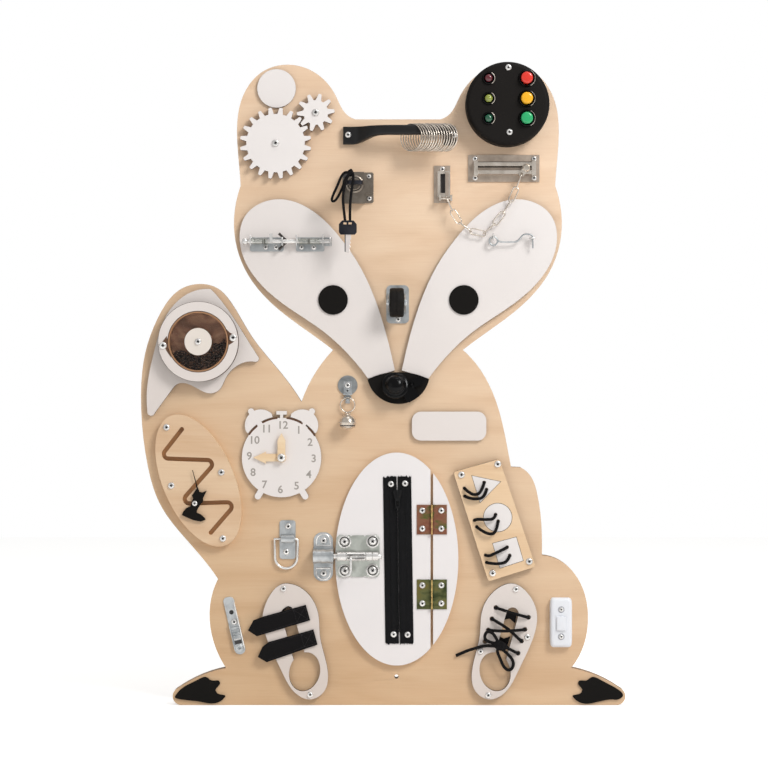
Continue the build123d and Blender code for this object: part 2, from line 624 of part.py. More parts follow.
# ---------------------------------------------------------------- bicycle bell on the nose
BELL = (-4.2, 350.6)
BELL_R = 15.0
BELL_BASE_T = 5.0
BELL_LEVEL = FACE + NOSE_T
BELL_TIERS = [(15.0, 3.0, 8), (14.5, 2.6, 40), (10.2, 3.0, 12), (9.5, 2.4, 45)]  # radius, height, taper
BELL_CLAMP = ((4.0, 337.0), (20.0, 347.0))
LEVER_PIVOT = (13.8, 352.8)
LEVER_END = (23.5, 357.0)
LEVER_W = 9.0
LEVER_T = 4.0
LEVER_LAP = 1.2  # the bell overhangs the lever by this much
LEVER_POST_R = 2.0
LEVER_POST_H = 8.5

with BuildPart() as bike_bell:
    disc([BELL], BELL_LEVEL, BELL_R - 2.0, BELL_BASE_T)
    level = BELL_LEVEL + BELL_BASE_T
    for radius, height, taper in BELL_TIERS:
        disc([BELL], level, radius, height, taper)
        level += height
    disc([LEVER_PIVOT], BELL_LEVEL, LEVER_POST_R, LEVER_POST_H)
    block(*BELL_CLAMP, BELL_LEVEL, BELL_BASE_T - 0.8, 1.5)

with BuildPart() as bell_lever:
    with BuildSketch(front(BELL_LEVEL + PLAY)):
        slot_between((LEVER_PIVOT, LEVER_END), LEVER_W)
        with Locations(LEVER_PIVOT):
            Circle(LEVER_POST_R + 0.2, mode=Mode.SUBTRACT)
        with Locations(BELL):
            Circle(BELL_R - LEVER_LAP, mode=Mode.SUBTRACT)
    extrude(amount=LEVER_T)

# ---------------------------------------------------------------- washer plate and jingle bell
CHIME = (-56.4, 351.6)
CHIME_R = 10.8
CHIME_TAB = (8.4, 14.0)
CHIME_NECK = (4.4, 10.0)
JINGLE_RING_R = 7.9
JINGLE_WIRE = 1.4
JINGLE_Z = 311.3
JINGLE_LEVEL = FACE + 11.0

PEG_Z = 335.0
PEG_R = 1.2
PEG_REACH = 5.5
CLIP_LOW, CLIP_HIGH = (-60.6, 341.2), (-52.2, 356.0)
CLIP_T = 1.0
CLIP_ROLL_R = 1.3

JINGLE_RING_Z = PEG_Z + PEG_R + 0.15 - JINGLE_RING_R + JINGLE_WIRE
BELL_PROFILE = [(0, 9.6), (4.6, 8.6), (8.0, 4.6), (9.2, -2.0), (9.6, -6.4)]  # radius and height
with BuildPart() as jingle_bell:
    x = CHIME[0]
    with BuildSketch(front(FACE + SHEET + 1.0)):
        with Locations((x, JINGLE_RING_Z)):
            Circle(JINGLE_RING_R)
            Circle(JINGLE_RING_R - JINGLE_WIRE, mode=Mode.SUBTRACT)
    extrude(amount=JINGLE_WIRE)
    ring_low = JINGLE_RING_Z - JINGLE_RING_R + 0.8
    bar((x, -FACE - SHEET - 1.6, ring_low), (x, -JINGLE_LEVEL, JINGLE_Z + 7.5), 1.0)
    with BuildSketch(Plane(origin=(x, -JINGLE_LEVEL, JINGLE_Z), x_dir=(1, 0, 0), z_dir=(0, -1, 0))):
        with BuildLine():
            Spline(*BELL_PROFILE)
            Line(BELL_PROFILE[-1], (7.4, -8.8))
            Line((7.4, -8.8), (0, -8.8))
            Line((0, -8.8), BELL_PROFILE[0])
        make_face()
    revolve(axis=Axis((x, -JINGLE_LEVEL, 0), (0, 0, 1)))

# ---------------------------------------------------------------- alarm clock with two hands
CLOCK = (-129.0, 272.2)
DIAL_R = 43.6
CLOCK_T = 4.0
BELL_ARC = [(-38.7, 28.1), (-34.1, 48.8), (-10.7, 48.1)]
BELL_HOLLOW_R = 45.4  # the bells' hollow side follows the dial
BELL_HOLLOW = (144.0, 123.0, 102.5)  # at these angles
BALL = (-33.4, 50.7)
BALL_R = 3.4
HAND_T = 2.2
HAND_GAP = 0.3
HAND_BORE = SHANK_R + 0.2
CLOCK_HEAD_R = 4.6
MINUTE_LEVEL = FACE + CLOCK_T + HAND_GAP
HOUR_LEVEL = MINUTE_LEVEL + HAND_T + HAND_GAP

with BuildPart() as clock_face:
    cx, cz = CLOCK
    with BuildSketch(front(FACE)):
        with Locations(CLOCK):
            Circle(DIAL_R)
        for side in (-1, 1):
            outer = [(cx - side * x, cz + z) for x, z in BELL_ARC]
            with BuildLine():
                ThreePointArc(*outer)
                inner = [(cx - side * BELL_HOLLOW_R * cos(radians(a)), cz + BELL_HOLLOW_R * sin(radians(a)))
                         for a in BELL_HOLLOW]
                Line(outer[-1], inner[-1])
                ThreePointArc(*reversed(inner))
                Line(inner[0], outer[0])
            make_face()
            with Locations((cx - side * BALL[0], cz + BALL[1])):
                Circle(BALL_R)
            with BuildSketch():
                slot_between(((cx + side * 23.6, cz + 36.3), (cx + side * 26.5, cz + 40.8)), 6.0)
                slot_between(((cx + side * 22.2, cz - 36.3), (cx + side * 26.0, cz - 42.5)), 7.0)
        with Locations((cx, cz + DIAL_R + 2)):
            Rectangle(3.4, 6.0)
        with Locations((cx, cz + DIAL_R + 5.6)):
            Rectangle(11.6, 4.0)
    extrude(amount=CLOCK_T)

with BuildPart() as minute_hand:
    with BuildSketch(front(MINUTE_LEVEL)):
        with BuildLine():
            Polyline((cx, cz - 4.2), (cx, cz + 4.2), (cx - 17, cz + 4.2), (cx - 17, cz + 6.6), (cx - 31, cz),
                     (cx - 17, cz - 6.6), (cx - 17, cz - 4.2), close=True)
        make_face()
        with Locations(CLOCK):
            Circle(5.2)
            Circle(HAND_BORE, mode=Mode.SUBTRACT)
    extrude(amount=HAND_T)

with BuildPart() as hour_hand:
    with BuildSketch(front(HOUR_LEVEL)):
        with BuildLine():
            Polyline((cx - 4.3, cz), (cx + 4.3, cz), (cx + 4.3, cz + 19), (cx, cz + 27), (cx - 4.3, cz + 19),
                     close=True)
        make_face()
        with Locations(CLOCK):
            Circle(5.2)
            Circle(HAND_BORE, mode=Mode.SUBTRACT)
    extrude(amount=HAND_T)

# ---------------------------------------------------------------- finger maze and its slider
MAZE = (-220.2, 247.1)
MAZE_SIZE = (38.8, 77.2)
MAZE_TILT = 23.6
MAZE_T = 8.0
GROOVE_W = 4.8
GROOVE_DEPTH = 5.0
GROOVE = [(-238.2, 303.4), (-263.0, 271.5), (-199.5, 269.2), (-241.5, 221.6), (-177.5, 223.6),
          (-206.6, 189.8)]
GROOVE_BEND = 5.0
MAZE_SCREWS = [(-255.0, 305.5), (-194.9, 256.1), (-249.7, 241.6), (-193.1, 183.6)]
CAT_PIN = (-223.9, 222.15)
CAT_T = 3.0
CAT = [(-220.9, 240.1), (-218.7, 234.7), (-216.2, 234.1), (-210.8, 236.0), (-213.0, 231.5), (-214.9, 227.7),
       (-214.6, 224.6), (-218.7, 219.5), (-221.2, 215.1), (-221.9, 212.0), (-217.4, 210.1), (-213.0, 206.3),
       (-212.1, 204.1), (-217.4, 202.2), (-225.0, 203.8), (-231.3, 206.3), (-238.0, 209.4), (-236.4, 213.2),
       (-233.2, 217.0), (-228.8, 218.9), (-226.9, 224.6), (-225.6, 227.7), (-226.9, 230.9), (-223.8, 235.3)]

with BuildPart() as maze_plate:
    with BuildSketch(front(FACE)):
        with Locations(Location((MAZE[0], MAZE[1], 0), (0, 0, MAZE_TILT))):
            Ellipse(*MAZE_SIZE)
    extrude(amount=MAZE_T)
    with BuildSketch(front(FACE + MAZE_T)):
        with BuildLine() as groove:
            FilletPolyline(*GROOVE, radius=GROOVE_BEND)
        trace(line_width=GROOVE_W)
        with Locations(GROOVE[0], GROOVE[-1]):
            Circle(GROOVE_W / 2)
    extrude(amount=-GROOVE_DEPTH, mode=Mode.SUBTRACT)

with BuildPart() as cat_slider:
    with BuildSketch(front(FACE + MAZE_T + PLAY)):
        with BuildLine():
            Polyline(*CAT, close=True)
        make_face()
    extrude(amount=CAT_T)
    disc([CAT_PIN], FACE + MAZE_T - GROOVE_DEPTH + PLAY, GROOVE_W / 2 - PLAY, GROOVE_DEPTH)
    pan_heads([CAT_PIN], FACE + MAZE_T + PLAY + CAT_T, HEAD_31)

# ---------------------------------------------------------------- lacing board and its three shapes
LACING = [(59.4, 256.5), (110.0, 270.6), (149.9, 152.7), (97.9, 136.4)]
LACING_T = 8.0
LACING_CORNER = 3.0
POCKET_DEPTH = 5.0
SHAPE_T = 4.9
SHAPE_FIT = 0.4
TRIANGLE = [(79.8, 252.5), (111.2, 245.9), (88.9, 222.9)]
ROUND = (108.2, 206.6)
ROUND_R = 15.6
SQUARE = [(102.6, 178.2), (128.6, 185.2), (136.2, 159.3), (110.8, 151.1)]
LACING_HOLES = [(71.7, 238.7), (72.1, 230.0), (82.7, 203.6), (85.2, 196.5), (94.9, 165.4), (96.0, 157.3)]
SHAPE_HOLES = [(93.4, 245.0), (96.0, 237.2), (105.8, 209.8), (108.7, 202.5), (118.4, 174.0), (121.4, 165.0)]
HOLE_R = 1.9
LACING_SCREWS = [(68.5, 253.4), (108.2, 265.1), (142.8, 158.4), (102.6, 145.5)]


def shape_face(shape, grow=0.0):
    """Face of one loose shape, or of its pocket when grown."""
    if shape == "circle":
        with Locations(ROUND):
            Circle(ROUND_R + grow)
        return
    with BuildLine() as outline:
        Polyline(*(TRIANGLE if shape == "triangle" else SQUARE), close=True)
    make_face(outline.line)
    if grow:
        offset(amount=grow, kind=Kind.INTERSECTION)


with BuildPart() as lacing_plate:
    with BuildSketch(front(FACE)) as sheet:
        with BuildLine():
            Polyline(*LACING, close=True)
        make_face()
        fillet(sheet.vertices(), LACING_CORNER)
    extrude(amount=LACING_T)
    for shape in ("triangle", "circle", "square"):
        with BuildSketch(front(FACE + LACING_T)):
            shape_face(shape, SHAPE_FIT)
        extrude(amount=-POCKET_DEPTH, mode=Mode.SUBTRACT)
    bore(LACING_HOLES, FACE + LACING_T, HOLE_R, LACING_T)

SHAPE_LEVEL = FACE + LACING_T - POCKET_DEPTH + 0.1
with BuildPart() as shape_triangle:
    with BuildSketch(front(SHAPE_LEVEL)):
        shape_face("triangle")
    extrude(amount=SHAPE_T)
    bore(SHAPE_HOLES[0:2], SHAPE_LEVEL + SHAPE_T, HOLE_R, SHAPE_T)

with BuildPart() as shape_circle:
    with BuildSketch(front(SHAPE_LEVEL)):
        shape_face("circle")
    extrude(amount=SHAPE_T)
    bore(SHAPE_HOLES[2:4], SHAPE_LEVEL + SHAPE_T, HOLE_R, SHAPE_T)

with BuildPart() as shape_square:
    with BuildSketch(front(SHAPE_LEVEL)):
        shape_face("square")
    extrude(amount=SHAPE_T)
    bore(SHAPE_HOLES[4:6], SHAPE_LEVEL + SHAPE_T, HOLE_R, SHAPE_T)

# laces: out of the board, across, and into the shape
LACE_R = 1.4
LACE_OUT = FACE + LACING_T
LACE_TRIANGLE = [
    [(71.7, -LACE_OUT, 238.7), (73.5, -31, 236.5), (82, -32, 231), (90.5, -31.5, 234.5),
     (93.4, -LACE_OUT, 245.0)],
    [(72.1, -LACE_OUT, 230.0), (74.5, -30, 228.5), (85, -31, 226.6), (94, -30.5, 229.5),
     (96.0, -LACE_OUT, 237.2)],
]
LACE_CIRCLE = [
    [(82.7, -LACE_OUT, 203.6), (85, -30.5, 205), (95, -31, 204.6), (104.5, -30.5, 205),
     (105.8, -LACE_OUT, 209.8)],
    [(85.2, -LACE_OUT, 196.5), (87.2, -30.5, 194.4), (98, -31, 188.2), (106.5, -31, 190),
     (108.7, -LACE_OUT, 202.5)],
]
LACE_SQUARE = [
    [(94.9, -LACE_OUT, 165.4), (97.5, -30.5, 164), (107, -31, 168.5), (116.5, -30.5, 173),
     (118.4, -LACE_OUT, 174.0)],
    [(96.0, -LACE_OUT, 157.3), (99, -30.5, 156.6), (109.5, -31, 156), (119, -30.5, 158.5),
     (121.4, -LACE_OUT, 165.0)],
]

with BuildPart() as lace_triangle:
    for route in LACE_TRIANGLE:
        tube(route, LACE_R, "lace_triangle")

with BuildPart() as lace_circle:
    for route in LACE_CIRCLE:
        tube(route, LACE_R, "lace_circle")

with BuildPart() as lace_square:
    for route in LACE_SQUARE:
        tube(route, LACE_R, "lace_square")

# ---------------------------------------------------------------- oval door, hinges and zip
OVAL = (-2.5, 160.9)
OVAL_SIZE = (67.6, 116.9)
OVAL_T = 6.0
HINGE_X = 36.0
DOOR_GAP = 2.8
HINGE_SIZE = (33.0, 32.5)
HINGE_Z = [204.2, 122.2]
LEAF_T = 1.0
KNUCKLE_R = 2.2
KNUCKLE_LEVEL = FACE + OVAL_T + KNUCKLE_R
PIN_R = 1.1
KNUCKLES = 5
HINGE_SCREW_X = 10.4
HINGE_SCREW_Z = 9.9


DOOR_LEVEL = FACE + PLAY


def oval_half(side):
    """The part of the oval on one side of the hinge line."""
    edge = HINGE_X + side * DOOR_GAP / 2
    with BuildSketch(front(FACE if side > 0 else DOOR_LEVEL)) as half:
        with Locations(OVAL):
            Ellipse(*OVAL_SIZE)
        with Locations((edge + side * 100, OVAL[1])):
            Rectangle(200, 300, mode=Mode.INTERSECT)
    extrude(half.sketch, amount=OVAL_T if side > 0 else OVAL_T - PLAY)


def hinge_leaf(side):
    """Plate on one side of each butt hinge, with every second knuckle."""
    pitch = HINGE_SIZE[1] / KNUCKLES
    for z in HINGE_Z:
        low = z - HINGE_SIZE[1] / 2
        near, far = HINGE_X + side * 0.4, HINGE_X + side * HINGE_SIZE[0] / 2
        block((min(near, far), low), (max(near, far), low + HINGE_SIZE[1]), FACE + OVAL_T, LEAF_T)
        for number in range(KNUCKLES):
            mine = (number % 2 == 0) == (side > 0)
            inset = 0.2 if mine else -0.1
            bottom = (HINGE_X, -KNUCKLE_LEVEL, low + number * pitch + inset)
            top = (HINGE_X, -KNUCKLE_LEVEL, low + (number + 1) * pitch - inset)
            if mine:
                bar(bottom, top, KNUCKLE_R, bore_r=PIN_R + 0.15 if side < 0 else 0)
            else:
                bar(bottom, top, KNUCKLE_R + PLAY, mode=Mode.SUBTRACT)
        if side > 0:
            bar((HINGE_X, -KNUCKLE_LEVEL, low), (HINGE_X, -KNUCKLE_LEVEL, low + HINGE_SIZE[1]), PIN_R)


def hinge_screws(side):
    """Four screws of a leaf, in each hinge."""
    x = HINGE_X + side * HINGE_SCREW_X
    return [(x, z + rise) for z in HINGE_Z for rise in (-HINGE_SCREW_Z, HINGE_SCREW_Z)]


with BuildPart() as oval_fixed_leaf:
    oval_half(1)

with BuildPart() as oval_door:
    oval_half(-1)

with BuildPart() as hinge_leaves_fixed:
    hinge_leaf(1)

with BuildPart() as hinge_leaves_door:
    hinge_leaf(-1)

# the zip: two tapes side by side with the row of teeth between them
ZIP_TOP = (-2.2, 253.0)
ZIP_BOTTOM = (0.5, 66.6)
ZIP_W = 31.0
TAPE_T = 1.0
TEETH_W = 5.0
TEETH_T = 1.6
ZIP_SCREWS = [(-8.8, 243.2), (6.6, 243.8), (-5.9, 78.3), (9.4, 77.9)]
ZIP_LEN = hypot(ZIP_BOTTOM[0] - ZIP_TOP[0], ZIP_BOTTOM[1] - ZIP_TOP[1])
ZIP_DOWN = ((ZIP_BOTTOM[0] - ZIP_TOP[0]) / ZIP_LEN, (ZIP_BOTTOM[1] - ZIP_TOP[1]) / ZIP_LEN)
SLIDER_AT = 21.0  # from the top of the tape to the slider's upper end
SLIDER_SIZE = (10.0, 9.0)  # long and wide
SLIDER_T = 4.6
PULL_SIZE = (16.0, 5.0, 1.6)
PULL_AT = 4.0
SLIDER_CORNER = 2.0


def along(top, level, down=ZIP_DOWN):
    """Plane over the board whose x runs down a tilted part from its top."""
    return Plane(origin=(top[0], -level, top[1]), x_dir=(down[0], 0, down[1]), z_dir=(0, -1, 0))


with BuildPart() as zipper_tapes:
    slab(along(ZIP_TOP, TOP), (0, -ZIP_W / 2), (ZIP_LEN, ZIP_W / 2), TAPE_T)
    slab(along(ZIP_TOP, TOP + TAPE_T), (2, -TEETH_W / 2), (ZIP_LEN - 2, TEETH_W / 2), TEETH_T)

with BuildPart() as zipper_slider:
    body = along(ZIP_TOP, TOP + TAPE_T + PLAY)
    length, wide = SLIDER_SIZE
    slab(body, (SLIDER_AT, -wide / 2), (SLIDER_AT + length, wide / 2), SLIDER_T, SLIDER_CORNER)
    slab(body, (SLIDER_AT - 1, -TEETH_W / 2 - PLAY), (SLIDER_AT + length + 1, TEETH_W / 2 + PLAY),
         TEETH_T + PLAY, mode=Mode.SUBTRACT)
    start = SLIDER_AT + PULL_AT
    length, wide, thick = PULL_SIZE
    slab(body.offset(SLIDER_T - 0.2), (start, -wide / 2), (start + length, wide / 2), thick, SLIDER_CORNER)

# ---------------------------------------------------------------- barrel bolt on the door
DOOR_BOLT_Z = 164.3
DOOR_BOLT_LEVEL = 31.5
DOOR_BOLT_R = 3.0
BASE_LOW, BASE_HIGH = (-68.8, 141.0), (-21.3, 187.6)
BASE_SCREWS = [(-59.7, 180.0), (-28.9, 180.4), (-59.3, 148.2), (-28.9, 148.6)]
BARREL = (-57.2, -33.0)
BARREL_R = 5.4
LEVER_X = -52.8
LEVER_BOTTOM = 143.0
LEVER_SIZE = 4.4
SLIDE_IN = 10.0  # the bolt's travel towards the hinges
KEEPER_LOW, KEEPER_HIGH = (-93.8, 136.4), (-72.6, 189.9)
KEEPER_SCREWS = [(-82.9, 180.8), (-82.9, 144.9)]
HOOP = (-91.0, -75.6)
HOOP_R = 7.4
HOOP_BORE = 5.0
FITTING_HEAD_R = 5.8


def hoop(low_x, high_x, z, level, foot_level, outer, inner):
    """Strap bent over a round bar that lies along X, standing on a plate."""
    rise = level - foot_level
    slab(Plane.YZ.offset(low_x), (-level, z - outer), (-foot_level, z + outer), high_x - low_x)
    bar((low_x, -level, z), (high_x, -level, z), outer)
    slab(Plane.YZ.offset(low_x), (-foot_level - rise / 2, z - inner), (-foot_level, z + inner),
         high_x - low_x,
         mode=Mode.SUBTRACT)
    slab(Plane.YZ.offset(low_x), (-level, z - inner), (-foot_level, z + inner), high_x - low_x,
         mode=Mode.SUBTRACT)
    bar((low_x, -level, z), (high_x, -level, z), inner, mode=Mode.SUBTRACT)


with BuildPart() as door_bolt_keeper:
    hoop(*HOOP, DOOR_BOLT_Z, DOOR_BOLT_LEVEL, FACE + SHEET, HOOP_R, HOOP_BORE)
    block(KEEPER_LOW, KEEPER_HIGH, FACE, SHEET, 9.0)

with BuildPart() as door_bolt_base:
    block(BASE_LOW, BASE_HIGH, TOP, SHEET, 3.0)
    block((BARREL[0], DOOR_BOLT_Z - BARREL_R), (BARREL[1], DOOR_BOLT_Z + BARREL_R), TOP + SHEET,
          DOOR_BOLT_LEVEL - TOP - SHEET)
    bar((BARREL[0], -DOOR_BOLT_LEVEL, DOOR_BOLT_Z), (BARREL[1], -DOOR_BOLT_LEVEL, DOOR_BOLT_Z), BARREL_R)
    bar((BARREL[0], -DOOR_BOLT_LEVEL, DOOR_BOLT_Z), (BARREL[1], -DOOR_BOLT_LEVEL, DOOR_BOLT_Z),
        DOOR_BOLT_R + PLAY, mode=Mode.SUBTRACT)
    block((BARREL[0] - 1, DOOR_BOLT_Z - 8), (LEVER_X + LEVER_SIZE / 2 + SLIDE_IN + 0.6, DOOR_BOLT_Z),
          DOOR_BOLT_LEVEL - LEVER_SIZE / 2 - PLAY, LEVER_SIZE + 2 * PLAY, mode=Mode.SUBTRACT)

with BuildPart() as door_fasteners:
    pan_heads(hinge_screws(-1), TOP + LEAF_T, HEAD_35)
    pan_heads(ZIP_SCREWS, TOP + TAPE_T, HEAD_35)
    pan_heads(BASE_SCREWS, TOP + SHEET, FITTING_HEAD_R)

with BuildPart() as door_bolt_rod:
    bar((-73.0, -DOOR_BOLT_LEVEL, DOOR_BOLT_Z), (-18.7, -DOOR_BOLT_LEVEL, DOOR_BOLT_Z), DOOR_BOLT_R)
    block((LEVER_X - LEVER_SIZE / 2, LEVER_BOTTOM), (LEVER_X + LEVER_SIZE / 2, DOOR_BOLT_Z),
          DOOR_BOLT_LEVEL - LEVER_SIZE / 2, LEVER_SIZE, 2.0)

# ---------------------------------------------------------------- lashing ring
LASHING_LOW, LASHING_HIGH = (-131.3, 160.6), (-113.7, 203.2)
LASHING_HUMP_R = 3.6
LASHING_SCREWS = [(-121.8, 196.5), (-123.8, 168.5)]
D_LOW, D_HIGH = (-138.4, 149.2), (-109.5, 184.1)
D_WIRE = 2.4
D_BAR_Z = D_HIGH[1] - D_WIRE / 2
D_LEVEL = FACE + SHEET + PLAY + D_WIRE / 2
STRAP_X = (-129.5, -115.0)

with BuildPart() as d_ring:
    middle = ((D_LOW[0] + D_HIGH[0]) / 2, D_HIGH[1])
    half = (D_HIGH[0] - D_LOW[0]) / 2
    drop = D_HIGH[1] - D_LOW[1] - half
    with BuildSketch(front(D_LEVEL - D_WIRE / 2)):
        for size, mode in ((half, Mode.ADD), (half - D_WIRE, Mode.SUBTRACT)):
            inset = half - size
            with Locations((middle[0], middle[1] - inset - (drop - inset) / 2)):
                Rectangle(2 * size, drop - inset, mode=mode)
            with Locations((middle[0], middle[1] - drop)):
                Circle(size, mode=mode)
    extrude(amount=D_WIRE)

# ---------------------------------------------------------------- long latch on the left haunch
LATCH_TOP = (-188.2, 119.1)
LATCH_LEN = 65.0
LATCH_W = 12.0
LATCH_TILT = 13.1
LATCH_DOWN = (sin(radians(LATCH_TILT)), -cos(radians(LATCH_TILT)))
LATCH_SCREW = (-181.1, 91.6)
LATCH_HOLE_AT = 17.5
LATCH_HOLE_R = 2.5
LATCH_FLANGE = 1.2
LATCH_SLIDE = (34.0, 62.0)
LATCH_SLIDE_T = 2.0
LATCH_RIDGES = 4
LATCH_RIDGE_STEP = 3.2
LATCH_RIDGE_T = 1.2
LATCH_EYE_AT = 57.0
LATCH_EYE = (3.4, 1.6, 1.6)  # outer and inner radius, thickness
LATCH_SIDES = ((3.0, 1, 5.0), (30.0, -1, 3.5))  # where each flange starts, its side and rise

with BuildPart() as zinc_plates:
    # a washer with a tab below it
    with BuildSketch(front(FACE)):
        with Locations(CHIME):
            Circle(CHIME_R)
        with Locations((CHIME[0], CHIME[1] - CHIME_TAB[1] / 2)):
            Rectangle(*CHIME_TAB)
        with Locations((CHIME[0], PEG_Z + 2)):
            Rectangle(*CHIME_NECK)
    extrude(amount=SHEET)
    # a spring clip with a rolled lower edge lies over the washer
    block(CLIP_LOW, CLIP_HIGH, FACE + SHEET, CLIP_T, 1.5)
    bar((CLIP_LOW[0], -FACE - SHEET - CLIP_ROLL_R, CLIP_LOW[1] + CLIP_ROLL_R),
        (CLIP_HIGH[0], -FACE - SHEET - CLIP_ROLL_R, CLIP_LOW[1] + CLIP_ROLL_R), CLIP_ROLL_R)
    # a headed peg holds the bell's ring
    disc([(CHIME[0], PEG_Z)], FACE + SHEET, PEG_R, PEG_REACH)
    disc([(CHIME[0], PEG_Z)], FACE + SHEET + PEG_REACH - 1, PEG_R + 0.9, 1.0)
    # the lashing plate with a hump over the ring's straight side
    block(LASHING_LOW, LASHING_HIGH, FACE, SHEET, 3.0)
    bar((STRAP_X[0], -D_LEVEL, D_BAR_Z), (STRAP_X[1], -D_LEVEL, D_BAR_Z), LASHING_HUMP_R)
    block((STRAP_X[0], D_BAR_Z - 4), (STRAP_X[1], D_BAR_Z + 4), FACE - 2, 2.0, mode=Mode.SUBTRACT)
    bar((LASHING_LOW[0] - 1, -D_LEVEL, D_BAR_Z), (LASHING_HIGH[0] + 1, -D_LEVEL, D_BAR_Z),
        hypot(D_WIRE / 2, D_WIRE / 2) + 2 * PLAY, mode=Mode.SUBTRACT)
    # the latch: a channel with a round hole near its top
    half = LATCH_W / 2
    slab(along(LATCH_TOP, FACE, LATCH_DOWN), (0, -half), (LATCH_LEN, half), SHEET, 2.0)
    for start, side, rise in LATCH_SIDES:
        middle = side * (half - LATCH_FLANGE / 2)
        slab(along(LATCH_TOP, FACE + SHEET, LATCH_DOWN), (start, middle - LATCH_FLANGE / 2),
             (LATCH_LEN - 3, middle + LATCH_FLANGE / 2), rise)
    with BuildSketch(along(LATCH_TOP, FACE, LATCH_DOWN)):
        with Locations((LATCH_HOLE_AT, 0)):
            Circle(LATCH_HOLE_R)
    extrude(amount=SHEET, mode=Mode.SUBTRACT)

with BuildPart() as latch_slide:
    half = LATCH_W / 2 - LATCH_FLANGE - PLAY
    face = along(LATCH_TOP, FACE + SHEET + PLAY, LATCH_DOWN)
    slab(face, (LATCH_SLIDE[0], -half), (LATCH_SLIDE[1], half), LATCH_SLIDE_T)
    for ridge in range(LATCH_RIDGES):
        start = LATCH_SLIDE[0] + ridge * LATCH_RIDGE_STEP
        slab(face.offset(LATCH_SLIDE_T), (start, -half), (start + LATCH_RIDGE_STEP / 2, half), LATCH_RIDGE_T)
    with BuildSketch(face.offset(LATCH_SLIDE_T)):
        with Locations((LATCH_EYE_AT, 0)):
            Circle(LATCH_EYE[0])
            Circle(LATCH_EYE[1], mode=Mode.SUBTRACT)
    extrude(amount=LATCH_EYE[2])

# ---------------------------------------------------------------- shoe straps and laces
STRAP_T = 2.4
STRAP_CORNER = 2.5
STRAP_UPPER = [(-102.3, 110.7), (-148.9, 97.9), (-159.7, 93.9), (-165.7, 82.7), (-155.9, 76.3),
               (-97.5, 93.9)]
STRAP_LOWER = [(-93.9, 83.7), (-143.0, 70.0), (-149.9, 64.6), (-154.9, 53.7), (-145.2, 47.9), (-89.5, 67.1)]
SHOE_LACE_R = 1.3
SHOE_LACES = [
    [(106.3, -TOP, 107.6), (108.6, -28.0, 107.0), (124.0, -28.4, 102.0), (139.6, -28.0, 97.6),
     (142.0, -TOP, 97.0)],
    [(102.0, -TOP, 95.3), (104.2, -28.0, 94.2), (119.5, -28.6, 85.0), (132.4, -28.0, 72.4),
     (134.4, -TOP, 71.0)],
    [(138.2, -TOP, 83.7), (135.6, -28.2, 83.5), (124.5, -31.9, 83.0), (114.0, -31.9, 82.5),
     (101.0, -28.6, 82.9), (98.0, -TOP, 83.0)],
    # from the lowest hole through the knot into the long bow
    [(130.6, -TOP, 57.6), (128.2, -27.8, 58.6), (121.0, -28.6, 62.6), (112.0, -30.0, 67.0),
     (106.5, -30.0, 62.0),
     (111.0, -28.0, 51.5), (114.8, -27.0, 42.5), (120.5, -26.6, 38.3), (125.3, -26.6, 42.5),
     (125.3, -27.2, 49.5),
     (120.0, -28.4, 56.5), (113.5, -29.6, 62.0)],
    # the small bow to the left of the knot
    [(109.0, -29.6, 68.5), (106.5, -31.6, 75.0), (101.5, -32.6, 81.5), (96.2, -32.6, 82.4),
     (93.4, -31.4, 77.5),
     (94.6, -30.0, 72.4), (99.5, -29.2, 70.4), (107.0, -29.2, 68.0)],
    # the loose end
    [(107.0, -29.4, 65.5), (101.0, -28.4, 66.2), (93.0, -27.0, 66.0), (84.0, -26.6, 63.4),
     (74.0, -21.0, 59.8),
     (62.6, -19.8, 54.4)],
]
KNOT = ((106.6, 67.6), (116.0, 64.4))
KNOT_LEVEL = 29.6
KNOT_R = 4.4
KNOT_ROUND = 2.6


def strap(outline):
    """Flat strap of hook-and-loop tape, rounded at its free end."""
    with BuildSketch(front(TOP + PLAY)) as flat:
        with BuildLine():
            Polyline(*outline, close=True)
        make_face()
        fillet(flat.vertices().sort_by(Axis.X)[:4], STRAP_CORNER)
    extrude(flat.sketch, amount=STRAP_T)


with BuildPart() as strap_upper:
    strap(STRAP_UPPER)

with BuildPart() as strap_lower:
    strap(STRAP_LOWER)

with BuildPart() as shoe_lace:
    # the knot that the bows and the loose end come out of
    bar((KNOT[0][0], -KNOT_LEVEL, KNOT[0][1]), (KNOT[1][0], -KNOT_LEVEL, KNOT[1][1]), KNOT_R)
    fillet(shoe_lace.edges().filter_by(GeomType.CIRCLE), KNOT_ROUND)
    for route in SHOE_LACES:
        tube(route, SHOE_LACE_R, "shoe_lace")

# ---------------------------------------------------------------- push switch
SWITCH_LOW, SWITCH_HIGH = (165.7, 64.0), (189.9, 118.5)
SWITCH_T = 9.0
SWITCH_BUTTON = (177.8, 90.5)
SWITCH_BUTTON_SIZE = (10.0, 15.0)
SWITCH_TRAVEL = 2.0
SWITCH_CORNER = 4.5
SWITCH_CHAMFER = 2.0
SWITCH_WELL = 5.0
SWITCH_BUTTON_H = 5.2
SWITCH_SCREWS = [(177.8, 105.7), (177.8, 76.0)]

with BuildPart() as switch_housing:
    block(SWITCH_LOW, SWITCH_HIGH, FACE, SWITCH_T, SWITCH_CORNER)
    chamfer(switch_housing.faces().sort_by(Axis.Y)[0].edges(), SWITCH_CHAMFER)
    x, z = SWITCH_BUTTON
    w, h = SWITCH_BUTTON_SIZE
    block((x - w / 2, z - h / 2), (x + w / 2, z + h / 2), FACE + SWITCH_T - SWITCH_WELL, SWITCH_WELL + 1,
          mode=Mode.SUBTRACT)

with BuildPart() as switch_button:
    block((x - w / 2 + PLAY, z - h / 2 + PLAY), (x + w / 2 - PLAY, z + h / 2 - PLAY),
          FACE + SWITCH_T - SWITCH_WELL + SWITCH_TRAVEL + PLAY, SWITCH_BUTTON_H, 1.5)

